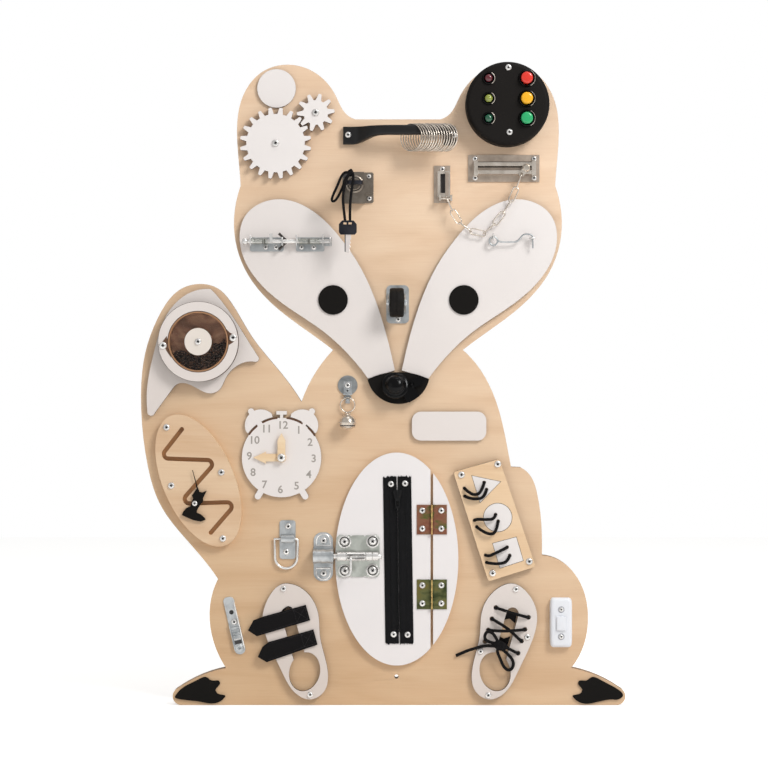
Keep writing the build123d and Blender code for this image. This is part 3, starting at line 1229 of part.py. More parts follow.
# ---------------------------------------------------------------- control panel in a cap
CAP = (118.5, 659.0)
CAP_R = 45.8
CAP_FACE_R = 42.6
CAP_T = 25.0
CAP_LEVEL = FACE + CAP_T
LAMP_X = 97.6
BUTTON_X = 139.1
PANEL_ROWS = [686.3, 664.2, 642.6]
LAMP_BEZEL_R = 6.3
LAMP_R = 3.9
BUTTON_BEZEL_R = 8.5
BUTTON_R = 6.5
BUTTON_TRAVEL = 2.5
BUTTON_WELL = 4.0
BUTTON_H = 9.0
BEZEL_T = 3.0
LAMP_BEZEL_T = 1.8
LAMP_H = 2.4
CAP_SCREWS = [(119.0, 697.4), (120.5, 627.5)]

with BuildPart() as panel_cap:
    lamps = [(LAMP_X, z) for z in PANEL_ROWS]
    buttons = [(BUTTON_X, z) for z in PANEL_ROWS]
    disc([CAP], FACE, CAP_R, CAP_T, degrees(atan2(CAP_R - CAP_FACE_R, CAP_T)))
    disc(lamps, CAP_LEVEL, LAMP_BEZEL_R, LAMP_BEZEL_T)
    disc(lamps, CAP_LEVEL + LAMP_BEZEL_T, LAMP_R, LAMP_H, HEAD_TAPER)
    disc(buttons, CAP_LEVEL, BUTTON_BEZEL_R, BEZEL_T)
    bore(buttons, CAP_LEVEL + BEZEL_T, BUTTON_R + PLAY, BEZEL_T + BUTTON_WELL)


def panel_button(z):
    """Round push button standing out of its bezel."""
    disc([(BUTTON_X, z)], CAP_LEVEL - BUTTON_WELL + BUTTON_TRAVEL + PLAY, BUTTON_R, BUTTON_H)


with BuildPart() as button_red:
    panel_button(PANEL_ROWS[0])

with BuildPart() as button_amber:
    panel_button(PANEL_ROWS[1])

with BuildPart() as button_green:
    panel_button(PANEL_ROWS[2])

# ---------------------------------------------------------------- seed drum
DRUM = (-219.6, 399.3)
DRUM_R = 44.0
DRUM_T = 12.0
WINDOW_R = 33.0
HUB_R = 15.2
DRUM_BACK_T = 2.0
DRUM_RIM = 1.4
WINDOW_T = 1.6
DRUM_SCREWS = [(-258.0, 395.0), (-181.4, 403.6)]
DRUM_NOTCH = (26.0, 14.0)  # from the middle, and half wide there
SEED_R = 1.5
SEEDS = [(-14.0, -24.5), (-8.5, -27.5), (-2.5, -22.0), (3.0, -27.0), (9.0, -24.0), (14.5, -21.0),
         (-18.5, -20.5),
         (0.0, -18.5), (19.0, -17.5)]

with BuildPart() as drum_ring:
    with BuildSketch(front(TOP)) as ring:
        with Locations(DRUM):
            Circle(DRUM_R)
            Circle(WINDOW_R + PLAY, mode=Mode.SUBTRACT)
        for x, z in DRUM_SCREWS:
            side = 1 if x > DRUM[0] else -1
            near = DRUM[0] + side * DRUM_NOTCH[0]
            with BuildLine():
                Polyline((x - side * 3, z), (near, z + DRUM_NOTCH[1]), (near, z - DRUM_NOTCH[1]), close=True)
            make_face(mode=Mode.SUBTRACT)
    extrude(amount=DRUM_T)

with BuildPart() as seed_drum:
    disc([DRUM], TOP + PLAY, WINDOW_R, DRUM_BACK_T)
    with BuildSketch(front(TOP + PLAY + DRUM_BACK_T)) as rim:
        with Locations(DRUM):
            Circle(WINDOW_R)
            Circle(WINDOW_R - DRUM_RIM, mode=Mode.SUBTRACT)
            Circle(HUB_R)
    extrude(amount=DRUM_T - DRUM_BACK_T - PLAY)
    disc([(DRUM[0] + x, DRUM[1] + z) for x, z in SEEDS], TOP + PLAY + DRUM_BACK_T, SEED_R, SEED_R, 20.0)
    pan_heads([DRUM], TOP + DRUM_T, HEAD_38)
    # the pane lies loose between rim and hub
    with BuildSketch(front(TOP + DRUM_T - WINDOW_T)) as pane:
        with Locations(DRUM):
            Circle(WINDOW_R - DRUM_RIM - PLAY)
            Circle(HUB_R + PLAY, mode=Mode.SUBTRACT)
    extrude(pane.sketch, amount=WINDOW_T)

# ---------------------------------------------------------------- screws and screw eyes in the board
GEAR_TOP = GEAR_LEVEL + GEAR_T
HAND_TOP = HOUR_LEVEL + HAND_T
LOOSE_SHOE_SCREWS = [(-126.8, 128.4), (-97.5, 12.1), (128.3, 127.8), (141.0, 75.4), (89.5, 59.6),
                     (97.9, 11.4)]


def ring_eye(plane):
    """Screw eye bent from wire, on its own plane."""
    with BuildSketch(plane) as ring:
        RegularPolygon(EYE_R + EYE_WIRE, 16)
        RegularPolygon(EYE_R - EYE_WIRE + 0.1, 16, mode=Mode.SUBTRACT)
    extrude(ring.sketch, amount=EYE_WIRE * 0.9, both=True)


with BuildPart() as board_fasteners:
    for spot in (CENTRE_LARGE, CENTRE_SMALL):
        disc([spot], FACE, SHANK_R + 1.4, WASHER_T - PLAY)
        disc([spot], FACE, SHANK_R, GEAR_TOP + PLAY - FACE)
        pan_heads([spot], GEAR_TOP + PLAY)
    disc([CLOCK], FACE + CLOCK_T, SHANK_R, HAND_TOP + PLAY - FACE - CLOCK_T)
    pan_heads([CLOCK], HAND_TOP + PLAY, CLOCK_HEAD_R)
    pan_heads(HANDLE_SCREWS, FACE + FOOT_T, HEAD_31)
    pan_heads(LOCK_TABS, FACE + TAB_T, HEAD_28)
    pan_heads([ANCHOR_SCREW, *TRACK_SCREWS], FACE + SHEET, HEAD_31)
    pan_heads(BOLT_SCREWS, TOP + SHEET, HEAD_28)
    pan_heads([CASTER_SCREW], FACE + CASTER_PLATE_T, HEAD_31)
    pan_heads([CHIME], FACE + SHEET + CLIP_T, HEAD_35)
    pan_heads([*LASHING_SCREWS, LATCH_SCREW], FACE + SHEET, HEAD_38)
    pan_heads(KEEPER_SCREWS, FACE + SHEET, FITTING_HEAD_R)
    pan_heads(MAZE_SCREWS, FACE + MAZE_T)
    pan_heads(hinge_screws(1), TOP + LEAF_T, HEAD_35)
    pan_heads(DRUM_SCREWS, TOP + DRUM_T, HEAD_38)
    pan_heads(LACING_SCREWS, FACE + LACING_T, HEAD_35)
    pan_heads(LOOSE_SHOE_SCREWS, TOP, HEAD_35)
    pan_heads(SWITCH_SCREWS, FACE + SWITCH_T, HEAD_28)
    pan_heads(CAP_SCREWS, CAP_LEVEL, HEAD_31)
    hook_eye = (HOOK_RING[0], -HOOK_LEVEL, HOOK_EYE_Z)
    catch_eye = (CATCH_EYE[0], -HOOK_LEVEL, CATCH_EYE[1])
    ring_eye(Plane(origin=hook_eye, x_dir=(0, 1, 0), z_dir=(1, 0, 0)))
    ring_eye(Plane(origin=catch_eye, x_dir=(1, 0, 0), z_dir=(0, 0, 1)))
    for spot in (hook_eye, catch_eye):
        bar((spot[0], -TOP, spot[2]), (spot[0], -HOOK_LEVEL + EYE_R + 0.6, spot[2]), 1.1, sides=12)

# ---------------------------------------------------------------- names and files
PIECES = {
    "back_board": back_board, "white_plates": white_plates, "black_trim": black_trim,
    "clock_face": clock_face, "hour_hand": hour_hand, "minute_hand": minute_hand, "maze_plate": maze_plate,
    "cat_slider": cat_slider, "lacing_plate": lacing_plate, "shape_triangle": shape_triangle,
    "shape_circle": shape_circle, "shape_square": shape_square, "lace_triangle": lace_triangle,
    "lace_circle": lace_circle, "lace_square": lace_square, "gear_large": gear_large,
    "gear_small": gear_small, "ring_handle": ring_handle, "key_rings": key_rings, "lock_case": lock_case,
    "lock_key": lock_key, "key_cord": key_cord, "spare_key": spare_key, "chain_plates": chain_plates,
    "chain_carriage": chain_carriage, "chain_left_run": chain_left_run, "chain_right_run": chain_right_run,
    "gate_hook": gate_hook, "spring_bolt_brackets": spring_bolt_brackets,
    "spring_bolt_rod": spring_bolt_rod, "caster_frame": caster_frame, "caster_wheel": caster_wheel,
    "bike_bell": bike_bell, "bell_lever": bell_lever, "zinc_plates": zinc_plates,
    "jingle_bell": jingle_bell, "oval_fixed_leaf": oval_fixed_leaf, "oval_door": oval_door,
    "hinge_leaves_fixed": hinge_leaves_fixed, "hinge_leaves_door": hinge_leaves_door,
    "door_bolt_keeper": door_bolt_keeper, "door_bolt_base": door_bolt_base,
    "door_fasteners": door_fasteners, "door_bolt_rod": door_bolt_rod, "zipper_tapes": zipper_tapes,
    "zipper_slider": zipper_slider, "d_ring": d_ring, "latch_slide": latch_slide,
    "strap_upper": strap_upper, "strap_lower": strap_lower, "shoe_lace": shoe_lace,
    "switch_housing": switch_housing, "switch_button": switch_button, "panel_cap": panel_cap,
    "button_red": button_red, "button_amber": button_amber, "button_green": button_green,
    "seed_drum": seed_drum, "drum_ring": drum_ring, "board_fasteners": board_fasteners,
}
for name, piece in PIECES.items():
    piece.part.label = name
    export_step(piece.part, f"parts/{name}.step")
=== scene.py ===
"""Looks of the wooden busy board: detailed pieces and finishes around its solid parts.

Lengths are in millimetres until a mesh is made. A level is a height in front of the wall.
"""
import random
from math import atan2, cos, degrees, hypot, pi, radians, sin

import bmesh
import bpy
from mathutils import Matrix, Vector
from mathutils.geometry import tessellate_polygon


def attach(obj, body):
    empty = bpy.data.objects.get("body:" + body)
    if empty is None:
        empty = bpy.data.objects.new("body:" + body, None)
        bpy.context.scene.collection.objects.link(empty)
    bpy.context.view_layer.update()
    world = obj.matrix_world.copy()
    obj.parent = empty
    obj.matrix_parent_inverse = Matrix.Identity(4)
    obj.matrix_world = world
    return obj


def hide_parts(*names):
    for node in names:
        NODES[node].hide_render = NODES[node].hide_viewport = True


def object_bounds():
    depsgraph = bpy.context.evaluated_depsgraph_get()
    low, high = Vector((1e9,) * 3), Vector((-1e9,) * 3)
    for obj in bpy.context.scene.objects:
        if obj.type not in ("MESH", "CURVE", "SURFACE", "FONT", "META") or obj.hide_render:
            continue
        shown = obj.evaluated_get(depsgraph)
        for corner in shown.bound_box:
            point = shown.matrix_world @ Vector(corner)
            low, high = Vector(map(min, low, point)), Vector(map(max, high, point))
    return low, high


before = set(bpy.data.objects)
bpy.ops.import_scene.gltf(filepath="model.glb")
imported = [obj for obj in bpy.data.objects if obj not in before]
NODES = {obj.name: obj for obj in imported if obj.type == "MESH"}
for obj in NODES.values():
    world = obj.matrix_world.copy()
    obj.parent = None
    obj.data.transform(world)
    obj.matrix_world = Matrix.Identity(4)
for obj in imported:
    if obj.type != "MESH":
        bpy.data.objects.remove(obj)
CAD_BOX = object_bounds()
MM = 0.001
FACE, TOP = 18.0, 24.0  # front of the board, and of the thin plates laid on it
SHEET = 1.5  # thickness of pressed fittings
ON_FACE, ON_TOP = FACE + SHEET, TOP + SHEET  # fronts of fittings that lie on those two
DOME = 43.0  # front of the lamp panel
BAR_LEVEL = 42.0  # middle of the bow handle's bar

# ---------------------------------------------------- camera, light and ground
CAMERA_AT = (-0.0165, -2.768, 0.353)
CAMERA_LENS = 117.2
camera = bpy.data.objects.new("camera", bpy.data.cameras.new("camera"))
camera.data.sensor_width = 36.0
camera.data.lens = CAMERA_LENS
camera.location = CAMERA_AT
camera.rotation_euler = (radians(90), 0, 0)
bpy.context.collection.objects.link(camera)
scene = bpy.context.scene
scene.camera = camera
scene.view_settings.view_transform = "Standard"


def lamp(name, at, towards, size, power):
    """Square soft light aimed at a point."""
    light = bpy.data.lights.new(name, "AREA")
    light.size = size
    light.energy = power
    obj = bpy.data.objects.new(name, light)
    obj.location = at
    obj.rotation_euler = (Vector(towards) - Vector(at)).to_track_quat("-Z", "Y").to_euler()
    bpy.context.collection.objects.link(obj)


lamp("key", (1.25, -1.5, 1.8), (0, 0, 0.45), 0.8, 33)
lamp("fill", (-1.9, -2.3, 1.0), (0, 0, 0.3), 1.6, 4)
lamp("top", (0.3, -0.3, 2.6), (0, 0, 0.4), 1.2, 8)


def srgb(r, g, b):
    """Linear colour of the usual 0 to 255 numbers."""
    return tuple(c / 3295 if c <= 10 else ((c / 255 + 0.055) / 1.055) ** 2.4 for c in (r, g, b)) + (1.0,)


SHADE_ACROSS, SHADE_ALONG, SHADE_AT_ORIGIN = 0.7, 1.15, 0.05  # how the painted shade and warmth change over a metre
PIN_X, PIN_HIGHLIGHT_HALF, BETWEEN_HINGES_Z = 0.036, 0.0006, 0.163  # pins of the door's hinges and half the width of the painted highlight along them, in metres


class Look:
    """A material with the few nodes that the looks below share."""

    def __init__(self, name, colour, rough, **sockets):
        self.mat = bpy.data.materials.new(name)
        self.mat.use_nodes = True
        self.nodes, self.links = self.mat.node_tree.nodes, self.mat.node_tree.links
        self.shader = self.nodes["Principled BSDF"]
        self.shader.inputs["Base Color"].default_value = colour
        self.shader.inputs["Roughness"].default_value = rough
        for socket, value in sockets.items():
            self.shader.inputs[socket.replace("_", " ")].default_value = value
        self.coords = self.nodes.new("ShaderNodeTexCoord")

    def noise(self, stretch, detail=3.0, distortion=0.0):
        """Noise over the piece's own space, with that many features to a metre along x, y and z."""
        mapping = self.nodes.new("ShaderNodeMapping")
        mapping.inputs["Scale"].default_value = stretch
        self.links.new(self.coords.outputs["Object"], mapping.inputs["Vector"])
        noise = self.nodes.new("ShaderNodeTexNoise")
        noise.inputs["Scale"].default_value = 1.0
        noise.inputs["Detail"].default_value = detail
        noise.inputs["Distortion"].default_value = distortion
        self.links.new(mapping.outputs["Vector"], noise.inputs["Vector"])
        return noise.outputs["Fac"]

    def ramp(self, value, *stops):
        """Colour of a value, from pairs of place and colour."""
        ramp = self.nodes.new("ShaderNodeValToRGB")
        while len(ramp.color_ramp.elements) < len(stops):
            ramp.color_ramp.elements.new(1.0)
        for element, (place, colour) in zip(ramp.color_ramp.elements, stops):
            element.position = place
            element.color = colour
        self.links.new(value, ramp.inputs["Fac"])
        return ramp.outputs["Color"]

    def math(self, operation, a, b=0.0):
        node = self.nodes.new("ShaderNodeMath")
        node.operation = operation
        for socket, value in zip(node.inputs, (a, b)):
            if isinstance(value, float):
                socket.default_value = value
            else:
                self.links.new(value, socket)
        return node.outputs[0]

    def mix(self, factor, a, b, blend="MIX"):
        node = self.nodes.new("ShaderNodeMix")
        node.data_type = "RGBA"
        node.blend_type = blend
        for socket, value in ((node.inputs[0], factor), (node.inputs[6], a), (node.inputs[7], b)):
            if isinstance(value, (float, tuple)):
                socket.default_value = value
            else:
                self.links.new(value, socket)
        return node.outputs[2]

    def axis(self, source, letter):
        """One coordinate of the piece's own space, or of its own normals."""
        split = self.nodes.new("ShaderNodeSeparateXYZ")
        self.links.new(self.coords.outputs[source], split.inputs["Vector"])
        return split.outputs[letter]

    def side(self, limit=0.85):
        """1 on faces that look sideways, 0 on the front and back."""
        return self.math("LESS_THAN", self.math("ABSOLUTE", self.axis("Normal", "Y")), limit)

    def aged(self, tone, tint):
        """Painted shade, with some warmth of the wood's own: tone that warms and darkens towards the left
        foot of the board, where the light falls off.
        """
        across = self.math("MULTIPLY", self.axis("Object", "X"), SHADE_ACROSS)
        along = self.math("MULTIPLY", self.axis("Object", "Z"), SHADE_ALONG)
        place = self.math("ADD", self.math("ADD", across, along), SHADE_AT_ORIGIN)
        return self.mix(1.0, tone, self.ramp(place, (0.0, tint), (0.95, WHITE)), "MULTIPLY")

    def colour(self, value):
        self.links.new(value, self.shader.inputs["Base Color"])

    def rough(self, value, low, high):
        spread = self.nodes.new("ShaderNodeMapRange")
        spread.inputs["To Min"].default_value = low
        spread.inputs["To Max"].default_value = high
        self.links.new(value, spread.inputs["Value"])
        self.links.new(spread.outputs["Result"], self.shader.inputs["Roughness"])

    def bump(self, value, height):
        """Relief of that many metres."""
        bump = self.nodes.new("ShaderNodeBump")
        bump.inputs["Strength"].default_value = 1.0
        bump.inputs["Distance"].default_value = height
        self.links.new(value, bump.inputs["Height"])
        self.links.new(bump.outputs["Normal"], self.shader.inputs["Normal"])


WHITE, GREY, BLACK = srgb(255, 255, 255), srgb(128, 128, 128), srgb(0, 0, 0)


def plies(look, light, dark, ply=1.4):
    """Edge of plywood: thin layers across the thickness, every second one end grain."""
    layers = look.math("MULTIPLY", look.axis("Object", "Y"), 1.0 / (2 * ply * MM))
    strip = look.math("FRACT", layers)
    grain = look.noise((300, 900, 300), 2.0)
    bands = look.ramp(strip, (0.0, dark), (0.06, light), (0.46, light), (0.53, dark), (0.62, dark),
                      (0.97, light))
    return look.mix(0.25, bands, look.ramp(grain, (0.3, dark), (0.7, light)))


def birch(name, light, mid, dark, burnt_level=None, edges=None, aged=None):
    """Clear-lacquered birch: long flames, fine fibres and short pores along x."""
    look = Look(name, mid, 0.42, Coat_Weight=0.12, Coat_Roughness=0.35)
    flames = look.noise((3.2, 9, 17), 3.0, 1.6)
    fibres = look.noise((22, 60, 620), 4.0)
    patches = look.noise((5, 5, 9), 2.0)
    pores = look.noise((75, 200, 1500), 2.0)
    tone = look.ramp(flames, (0.30, dark), (0.47, mid), (0.62, light))
    tone = look.mix(0.35, tone, look.ramp(fibres, (0.35, mid), (0.65, light)))
    tone = look.mix(look.ramp(patches, (0.42, BLACK), (0.75, GREY)), tone, light)
    tone = look.mix(look.ramp(pores, (0.66, BLACK), (0.72, srgb(120, 120, 120))), tone, dark)
    # painted shade: darker and warmer towards the left foot of the board
    if aged:
        tone = look.aged(tone, aged)
    edge = plies(look, *(edges or (srgb(184, 146, 104), srgb(132, 94, 60))))
    tone = look.mix(look.side(), tone, edge)
    if burnt_level:
        deep = look.math("GREATER_THAN", look.axis("Object", "Y"), -burnt_level * MM)
        front = look.math("LESS_THAN", look.side(), 0.5)
        tone = look.mix(look.math("MULTIPLY", deep, front), tone, srgb(154, 108, 64))
    look.colour(tone)
    look.rough(fibres, 0.36, 0.55)
    look.bump(look.math("ADD", fibres, look.math("MULTIPLY", pores, -0.6)), 0.00012)
    return look.mat


def painted(name, face, edge_light, edge_dark, rough=0.5, grain=0.00006, coat=0.08, shine=0.5, aged=None):
    """Satin paint over veneer, with the cut edge browned by the laser and darkened further to paint the
    shade along the outline.
    """
    look = Look(name, face, rough, Coat_Weight=coat, Coat_Roughness=0.4, Specular_IOR_Level=shine)
    fibres = look.noise((30, 90, 700), 3.0)
    clouds = look.noise((14, 14, 22), 2.0)
    worn = tuple(c * 0.9 for c in face[:3]) + (1.0,)
    tone = look.mix(look.ramp(clouds, (0.35, BLACK), (0.8, srgb(150, 150, 150))), face, worn)
    # painted shade: darker and warmer towards the left foot of the board
    if aged:
        tone = look.aged(tone, aged)
    # The whole rounded edge takes the dark edge colour: an outline that is partly the laser's browning and
    # partly painted shade.
    tone = look.mix(look.side(0.97), tone, plies(look, edge_light, edge_dark, 1.0))
    look.colour(tone)
    look.rough(fibres, rough - 0.06, rough + 0.08)
    look.bump(fibres, grain)
    return look.mat


def plastic(name, colour, rough, relief=0.00002, scale=900, **sockets):
    """Moulded plastic with a fine skin and faint changes of tone."""
    look = Look(name, colour, rough, **sockets)
    skin = look.noise((scale,) * 3, 2.0)
    clouds = look.noise((30, 30, 30), 3.0)
    tone = tuple(min(1.0, c * 1.25 + 0.004) for c in colour[:3]) + (1.0,)
    look.colour(look.mix(look.ramp(clouds, (0.4, BLACK), (0.8, srgb(140, 140, 140))), colour, tone))
    look.rough(clouds, max(0.03, rough - 0.06), rough + 0.08)
    look.bump(skin, relief)
    return look.mat


def metal(name, colour, dull, rough, stretch=(60, 60, 60), relief=0.00001, metallic=1.0):
    """Plated steel: stains, hairlines and a roughness that wanders."""
    look = Look(name, colour, rough, Metallic=metallic)
    stains = look.noise((90, 90, 90), 4.0, 0.5)
    lines = look.noise(stretch, 3.0)
    look.colour(look.mix(look.ramp(stains, (0.35, BLACK), (0.75, WHITE)), colour, dull))
    look.rough(stains, rough * 0.7, rough * 1.35)
    look.bump(lines, relief)
    return look.mat


def woven(name, colour, glint, step=0.7, rough=0.8):
    """Cloth tape: threads both ways, with a soft sheen."""
    look = Look(name, colour, rough, Sheen_Weight=0.02, Sheen_Roughness=0.5, Specular_IOR_Level=0.15)
    waves = []
    for direction in ("X", "Z"):
        place = look.math("MULTIPLY", look.axis("Object", direction), 2 * pi / (step * MM))
        waves.append(look.math("SINE", place))
    weave = look.math("ADD", look.math("MULTIPLY", waves[0], waves[1]), look.noise((500, 500, 500), 2.0))
    look.colour(look.ramp(weave, (0.0, colour), (1.0, glint)))
    look.bump(weave, 0.00012)
    return look.mat


def chromate(name, red, green):
    """Yellow passivated steel, whose film turns from gold to red and green, with a painted gold highlight
    along the hinge pins.
    """
    look = Look(name, red, 0.36, Metallic=0.6)
    film = look.noise((36, 36, 60), 3.0, 1.0)
    lines = look.noise((900, 100, 60), 2.0)
    height = look.math("GREATER_THAN", look.axis("Object", "Z"), BETWEEN_HINGES_Z)
    low = look.ramp(film, (0.36, srgb(52, 60, 26)), (0.52, green), (0.66, srgb(108, 98, 44)),
                    (0.76, srgb(114, 68, 50)))
    high = look.ramp(film, (0.34, srgb(88, 92, 42)), (0.46, red), (0.64, srgb(122, 70, 52)),
                     (0.78, srgb(156, 108, 56)))
    # Gold stripe along each hinge pin: a painted highlight.
    aside = look.math("ABSOLUTE", look.math("SUBTRACT", look.axis("Object", "X"), PIN_X))
    pin_highlight = look.math("LESS_THAN", aside, PIN_HIGHLIGHT_HALF)
    look.colour(look.mix(pin_highlight, look.mix(height, low, high), srgb(208, 172, 108)))
    look.rough(lines, 0.26, 0.46)
    look.bump(lines, 0.00001)
    return look.mat


# Edge colours of cut plates, here and in the gear paint: the laser's browning, darkened further to paint the
# shade along each outline.
SCORCH_AND_SHADE, CHAR_AND_SHADE = srgb(74, 50, 34), srgb(42, 28, 20)
PALE_EDGE = (srgb(240, 214, 178), srgb(196, 158, 116))
LOOKS = {
    # The ply and white looks darken and warm towards the left foot: painted shade, partly the wood's own
    # warmth.
    "ply": birch("birch_ply", srgb(248, 221, 193), srgb(240, 209, 179), srgb(227, 192, 158),
                 aged=srgb(225, 214, 194)),
    "maze": birch("birch_maze", srgb(230, 200, 166), srgb(221, 186, 150), srgb(206, 166, 126), 24.5,
                  PALE_EDGE),
    "lacing": birch("birch_lacing", srgb(240, 210, 174), srgb(232, 198, 158), srgb(214, 174, 132), 24.0,
                    (SCORCH_AND_SHADE, CHAR_AND_SHADE)),
    "hand": birch("birch_hand", srgb(246, 222, 188), srgb(238, 208, 168), srgb(222, 186, 144), None,
                  PALE_EDGE),
    "white": painted("white_paint", srgb(241, 236, 234), SCORCH_AND_SHADE, CHAR_AND_SHADE, aged=srgb(235, 227, 220)),
    "gear": painted("gear_paint", srgb(238, 232, 229), srgb(128, 94, 64), srgb(72, 49, 34)),
    "clock": painted("clock_paint", srgb(237, 230, 226), SCORCH_AND_SHADE, CHAR_AND_SHADE),
    "door": painted("door_paint", srgb(240, 235, 234), srgb(232, 214, 190), srgb(186, 154, 120)),
    "black": painted("black_paint", srgb(20, 18, 16), srgb(20, 17, 16), srgb(10, 9, 9), 0.65, 0.00006, 0.0,
                     0.1),
    "handle": plastic("handle_black", srgb(13, 12, 12), 0.42, 0.00003, 700, Specular_IOR_Level=0.35),
    "cap": plastic("cap_black", srgb(23, 20, 18), 0.6, 0.00003, 1200, Specular_IOR_Level=0.12),
    "gloss_black": plastic("gloss_black", srgb(6, 6, 7), 0.16, 0.000005, 300, Specular_IOR_Level=0.16),
    "white_plastic": plastic("switch_white", srgb(233, 235, 240), 0.32, 0.00001, 500),
    "rubber": plastic("wheel_black", srgb(22, 19, 17), 0.6, 0.00004, 600, Specular_IOR_Level=0.15),
    "red": plastic("button_red", srgb(222, 50, 34), 0.3, 0.00002, 500, Coat_Weight=0.3),
    "amber": plastic("button_amber", srgb(246, 178, 20), 0.3, 0.00002, 500, Coat_Weight=0.3),
    "green": plastic("button_green", srgb(34, 170, 104), 0.3, 0.00002, 500, Coat_Weight=0.3),
    "lamp_red": plastic("lamp_red", srgb(92, 22, 34), 0.08, 0.000004, 200, Coat_Weight=0.6),
    "lamp_olive": plastic("lamp_olive", srgb(140, 150, 62), 0.1, 0.000004, 200, Coat_Weight=0.6),
    "lamp_green": plastic("lamp_green", srgb(20, 84, 58), 0.08, 0.000004, 200, Coat_Weight=0.6),
    "ink": plastic("dial_ink", srgb(164, 157, 150), 0.7, 0.00002, 900),
    "zinc": metal("zinc_plate", srgb(196, 199, 200), srgb(146, 151, 154), 0.36, metallic=0.75),
    "brushed": metal("brushed_zinc", srgb(172, 174, 174), srgb(112, 116, 118), 0.34, (900, 60, 25), 0.00002),
    "bright": metal("bright_zinc", srgb(240, 238, 235), srgb(196, 194, 192), 0.26, metallic=0.6),
    "nickel": metal("nickel_plate", srgb(232, 222, 210), srgb(182, 171, 158), 0.2, metallic=0.7),
    "chain": metal("chain_plate", srgb(206, 190, 174), srgb(164, 148, 134), 0.34, metallic=0.75),
    "lock": metal("lock_case", srgb(158, 148, 136), srgb(118, 108, 98), 0.3),
    "satin": metal("satin_nickel", srgb(190, 193, 186), srgb(154, 157, 150), 0.34, (900, 60, 60)),
    "dark_metal": metal("lock_metal", srgb(96, 90, 86), srgb(48, 44, 42), 0.3),
    "key": metal("key_steel", srgb(70, 70, 76), srgb(40, 40, 46), 0.34),
    "pale_key": metal("key_blade", srgb(252, 244, 240), srgb(232, 220, 214), 0.4),
    "chromate": chromate("yellow_chromate", srgb(138, 92, 70), srgb(96, 98, 58)),
    "tape": woven("zip_cloth", srgb(9, 9, 10), srgb(26, 26, 28), 0.8),
    "strap": woven("strap_cloth", srgb(9, 8, 9), srgb(24, 22, 23), 1.1, 0.85),
    "cord": woven("cord_braid", srgb(7, 6, 7), srgb(24, 22, 23), 0.9),
    "thread": woven("strap_thread", srgb(44, 42, 44), srgb(76, 73, 75), 0.5),
    "teeth": plastic("zip_teeth", srgb(10, 10, 11), 0.5, 0.000005, 400, Specular_IOR_Level=0.2),
    "groove": plastic("switch_groove", srgb(176, 178, 184), 0.5, 0.00001, 400),
    "rim": plastic("drum_rim", srgb(168, 124, 88), 0.6, 0.00004, 300),
    "hub_cream": painted("drum_hub", srgb(234, 224, 214), SCORCH_AND_SHADE, CHAR_AND_SHADE),
    # Dark grey for screw recesses and for the hollows, slots and holes below: painted shade.
    "recess": plastic("recess_shade", srgb(52, 50, 50), 0.6, 0.00001, 600),
    # Dark brown of charred cuts, also painted as the shade in slots and notches.
    "burnt_and_shade": plastic("burnt_edge_and_shade", srgb(92, 62, 42), 0.7, 0.00002, 300),
    "seeds": plastic("seeds_brown", srgb(50, 34, 28), 0.45, 0.00005, 700),
}


def glazing():
    """Clear acrylic window, a little smoky."""
    look = Look("window_acrylic", srgb(244, 236, 228), 0.05, Transmission_Weight=1.0, IOR=1.25)
    look.rough(look.noise((60, 60, 60), 2.0), 0.02, 0.09)
    return look.mat


def smoky(name, dark, mid, light):
    """Brown board behind the window, with blurred lights in it."""
    look = Look(name, mid, 0.5)
    clouds = look.noise((26, 26, 40), 4.0, 2.2)
    look.colour(look.ramp(clouds, (0.3, dark), (0.5, mid), (0.72, light)))
    look.rough(clouds, 0.4, 0.6)
    look.bump(clouds, 0.0001)
    return look.mat


LOOKS["window"] = glazing()
LOOKS["drum_back"] = smoky("drum_brown", srgb(104, 76, 62), srgb(140, 106, 88), srgb(184, 150, 128))


# ---------------------------------------------------- stage
def rect(low, high):
    """Corners of an upright rectangle."""
    return [low, (high[0], low[1]), high, (low[0], high[1])]


def ground(name, low, high, level):
    """Big pale plane under the object."""
    verts = [(*corner, level) for corner in rect(low, high)]
    mesh = bpy.data.meshes.new(name)
    mesh.from_pydata(verts, [], [(0, 1, 2, 3)])
    obj = bpy.data.objects.new(name, mesh)
    bpy.context.collection.objects.link(obj)
    mat = bpy.data.materials.new(name)
    mat.use_nodes = True
    nodes, links = mat.node_tree.nodes, mat.node_tree.links
    shader = nodes["Principled BSDF"]
    shader.inputs["Base Color"].default_value = srgb(244, 243, 241)
    shader.inputs["Roughness"].default_value = 0.9
    glow = nodes.new("ShaderNodeEmission")
    ray = nodes.new("ShaderNodeLightPath")
    seen = nodes.new("ShaderNodeMath")
    seen.operation = "MAXIMUM"
    links.new(ray.outputs["Is Camera Ray"], seen.inputs[0])
    links.new(ray.outputs["Is Glossy Ray"], seen.inputs[1])
    links.new(seen.outputs[0], glow.inputs["Strength"])
    out = nodes["Material Output"]
    both = nodes.new("ShaderNodeAddShader")
    links.new(shader.outputs[0], both.inputs[0])
    links.new(glow.outputs[0], both.inputs[1])
    glow.inputs["Color"].default_value = srgb(190, 190, 190)
    links.new(both.outputs[0], out.inputs["Surface"])
    obj.data.materials.append(mat)


ground("floor", (-6, -5), (6, 3), -0.5 * MM)

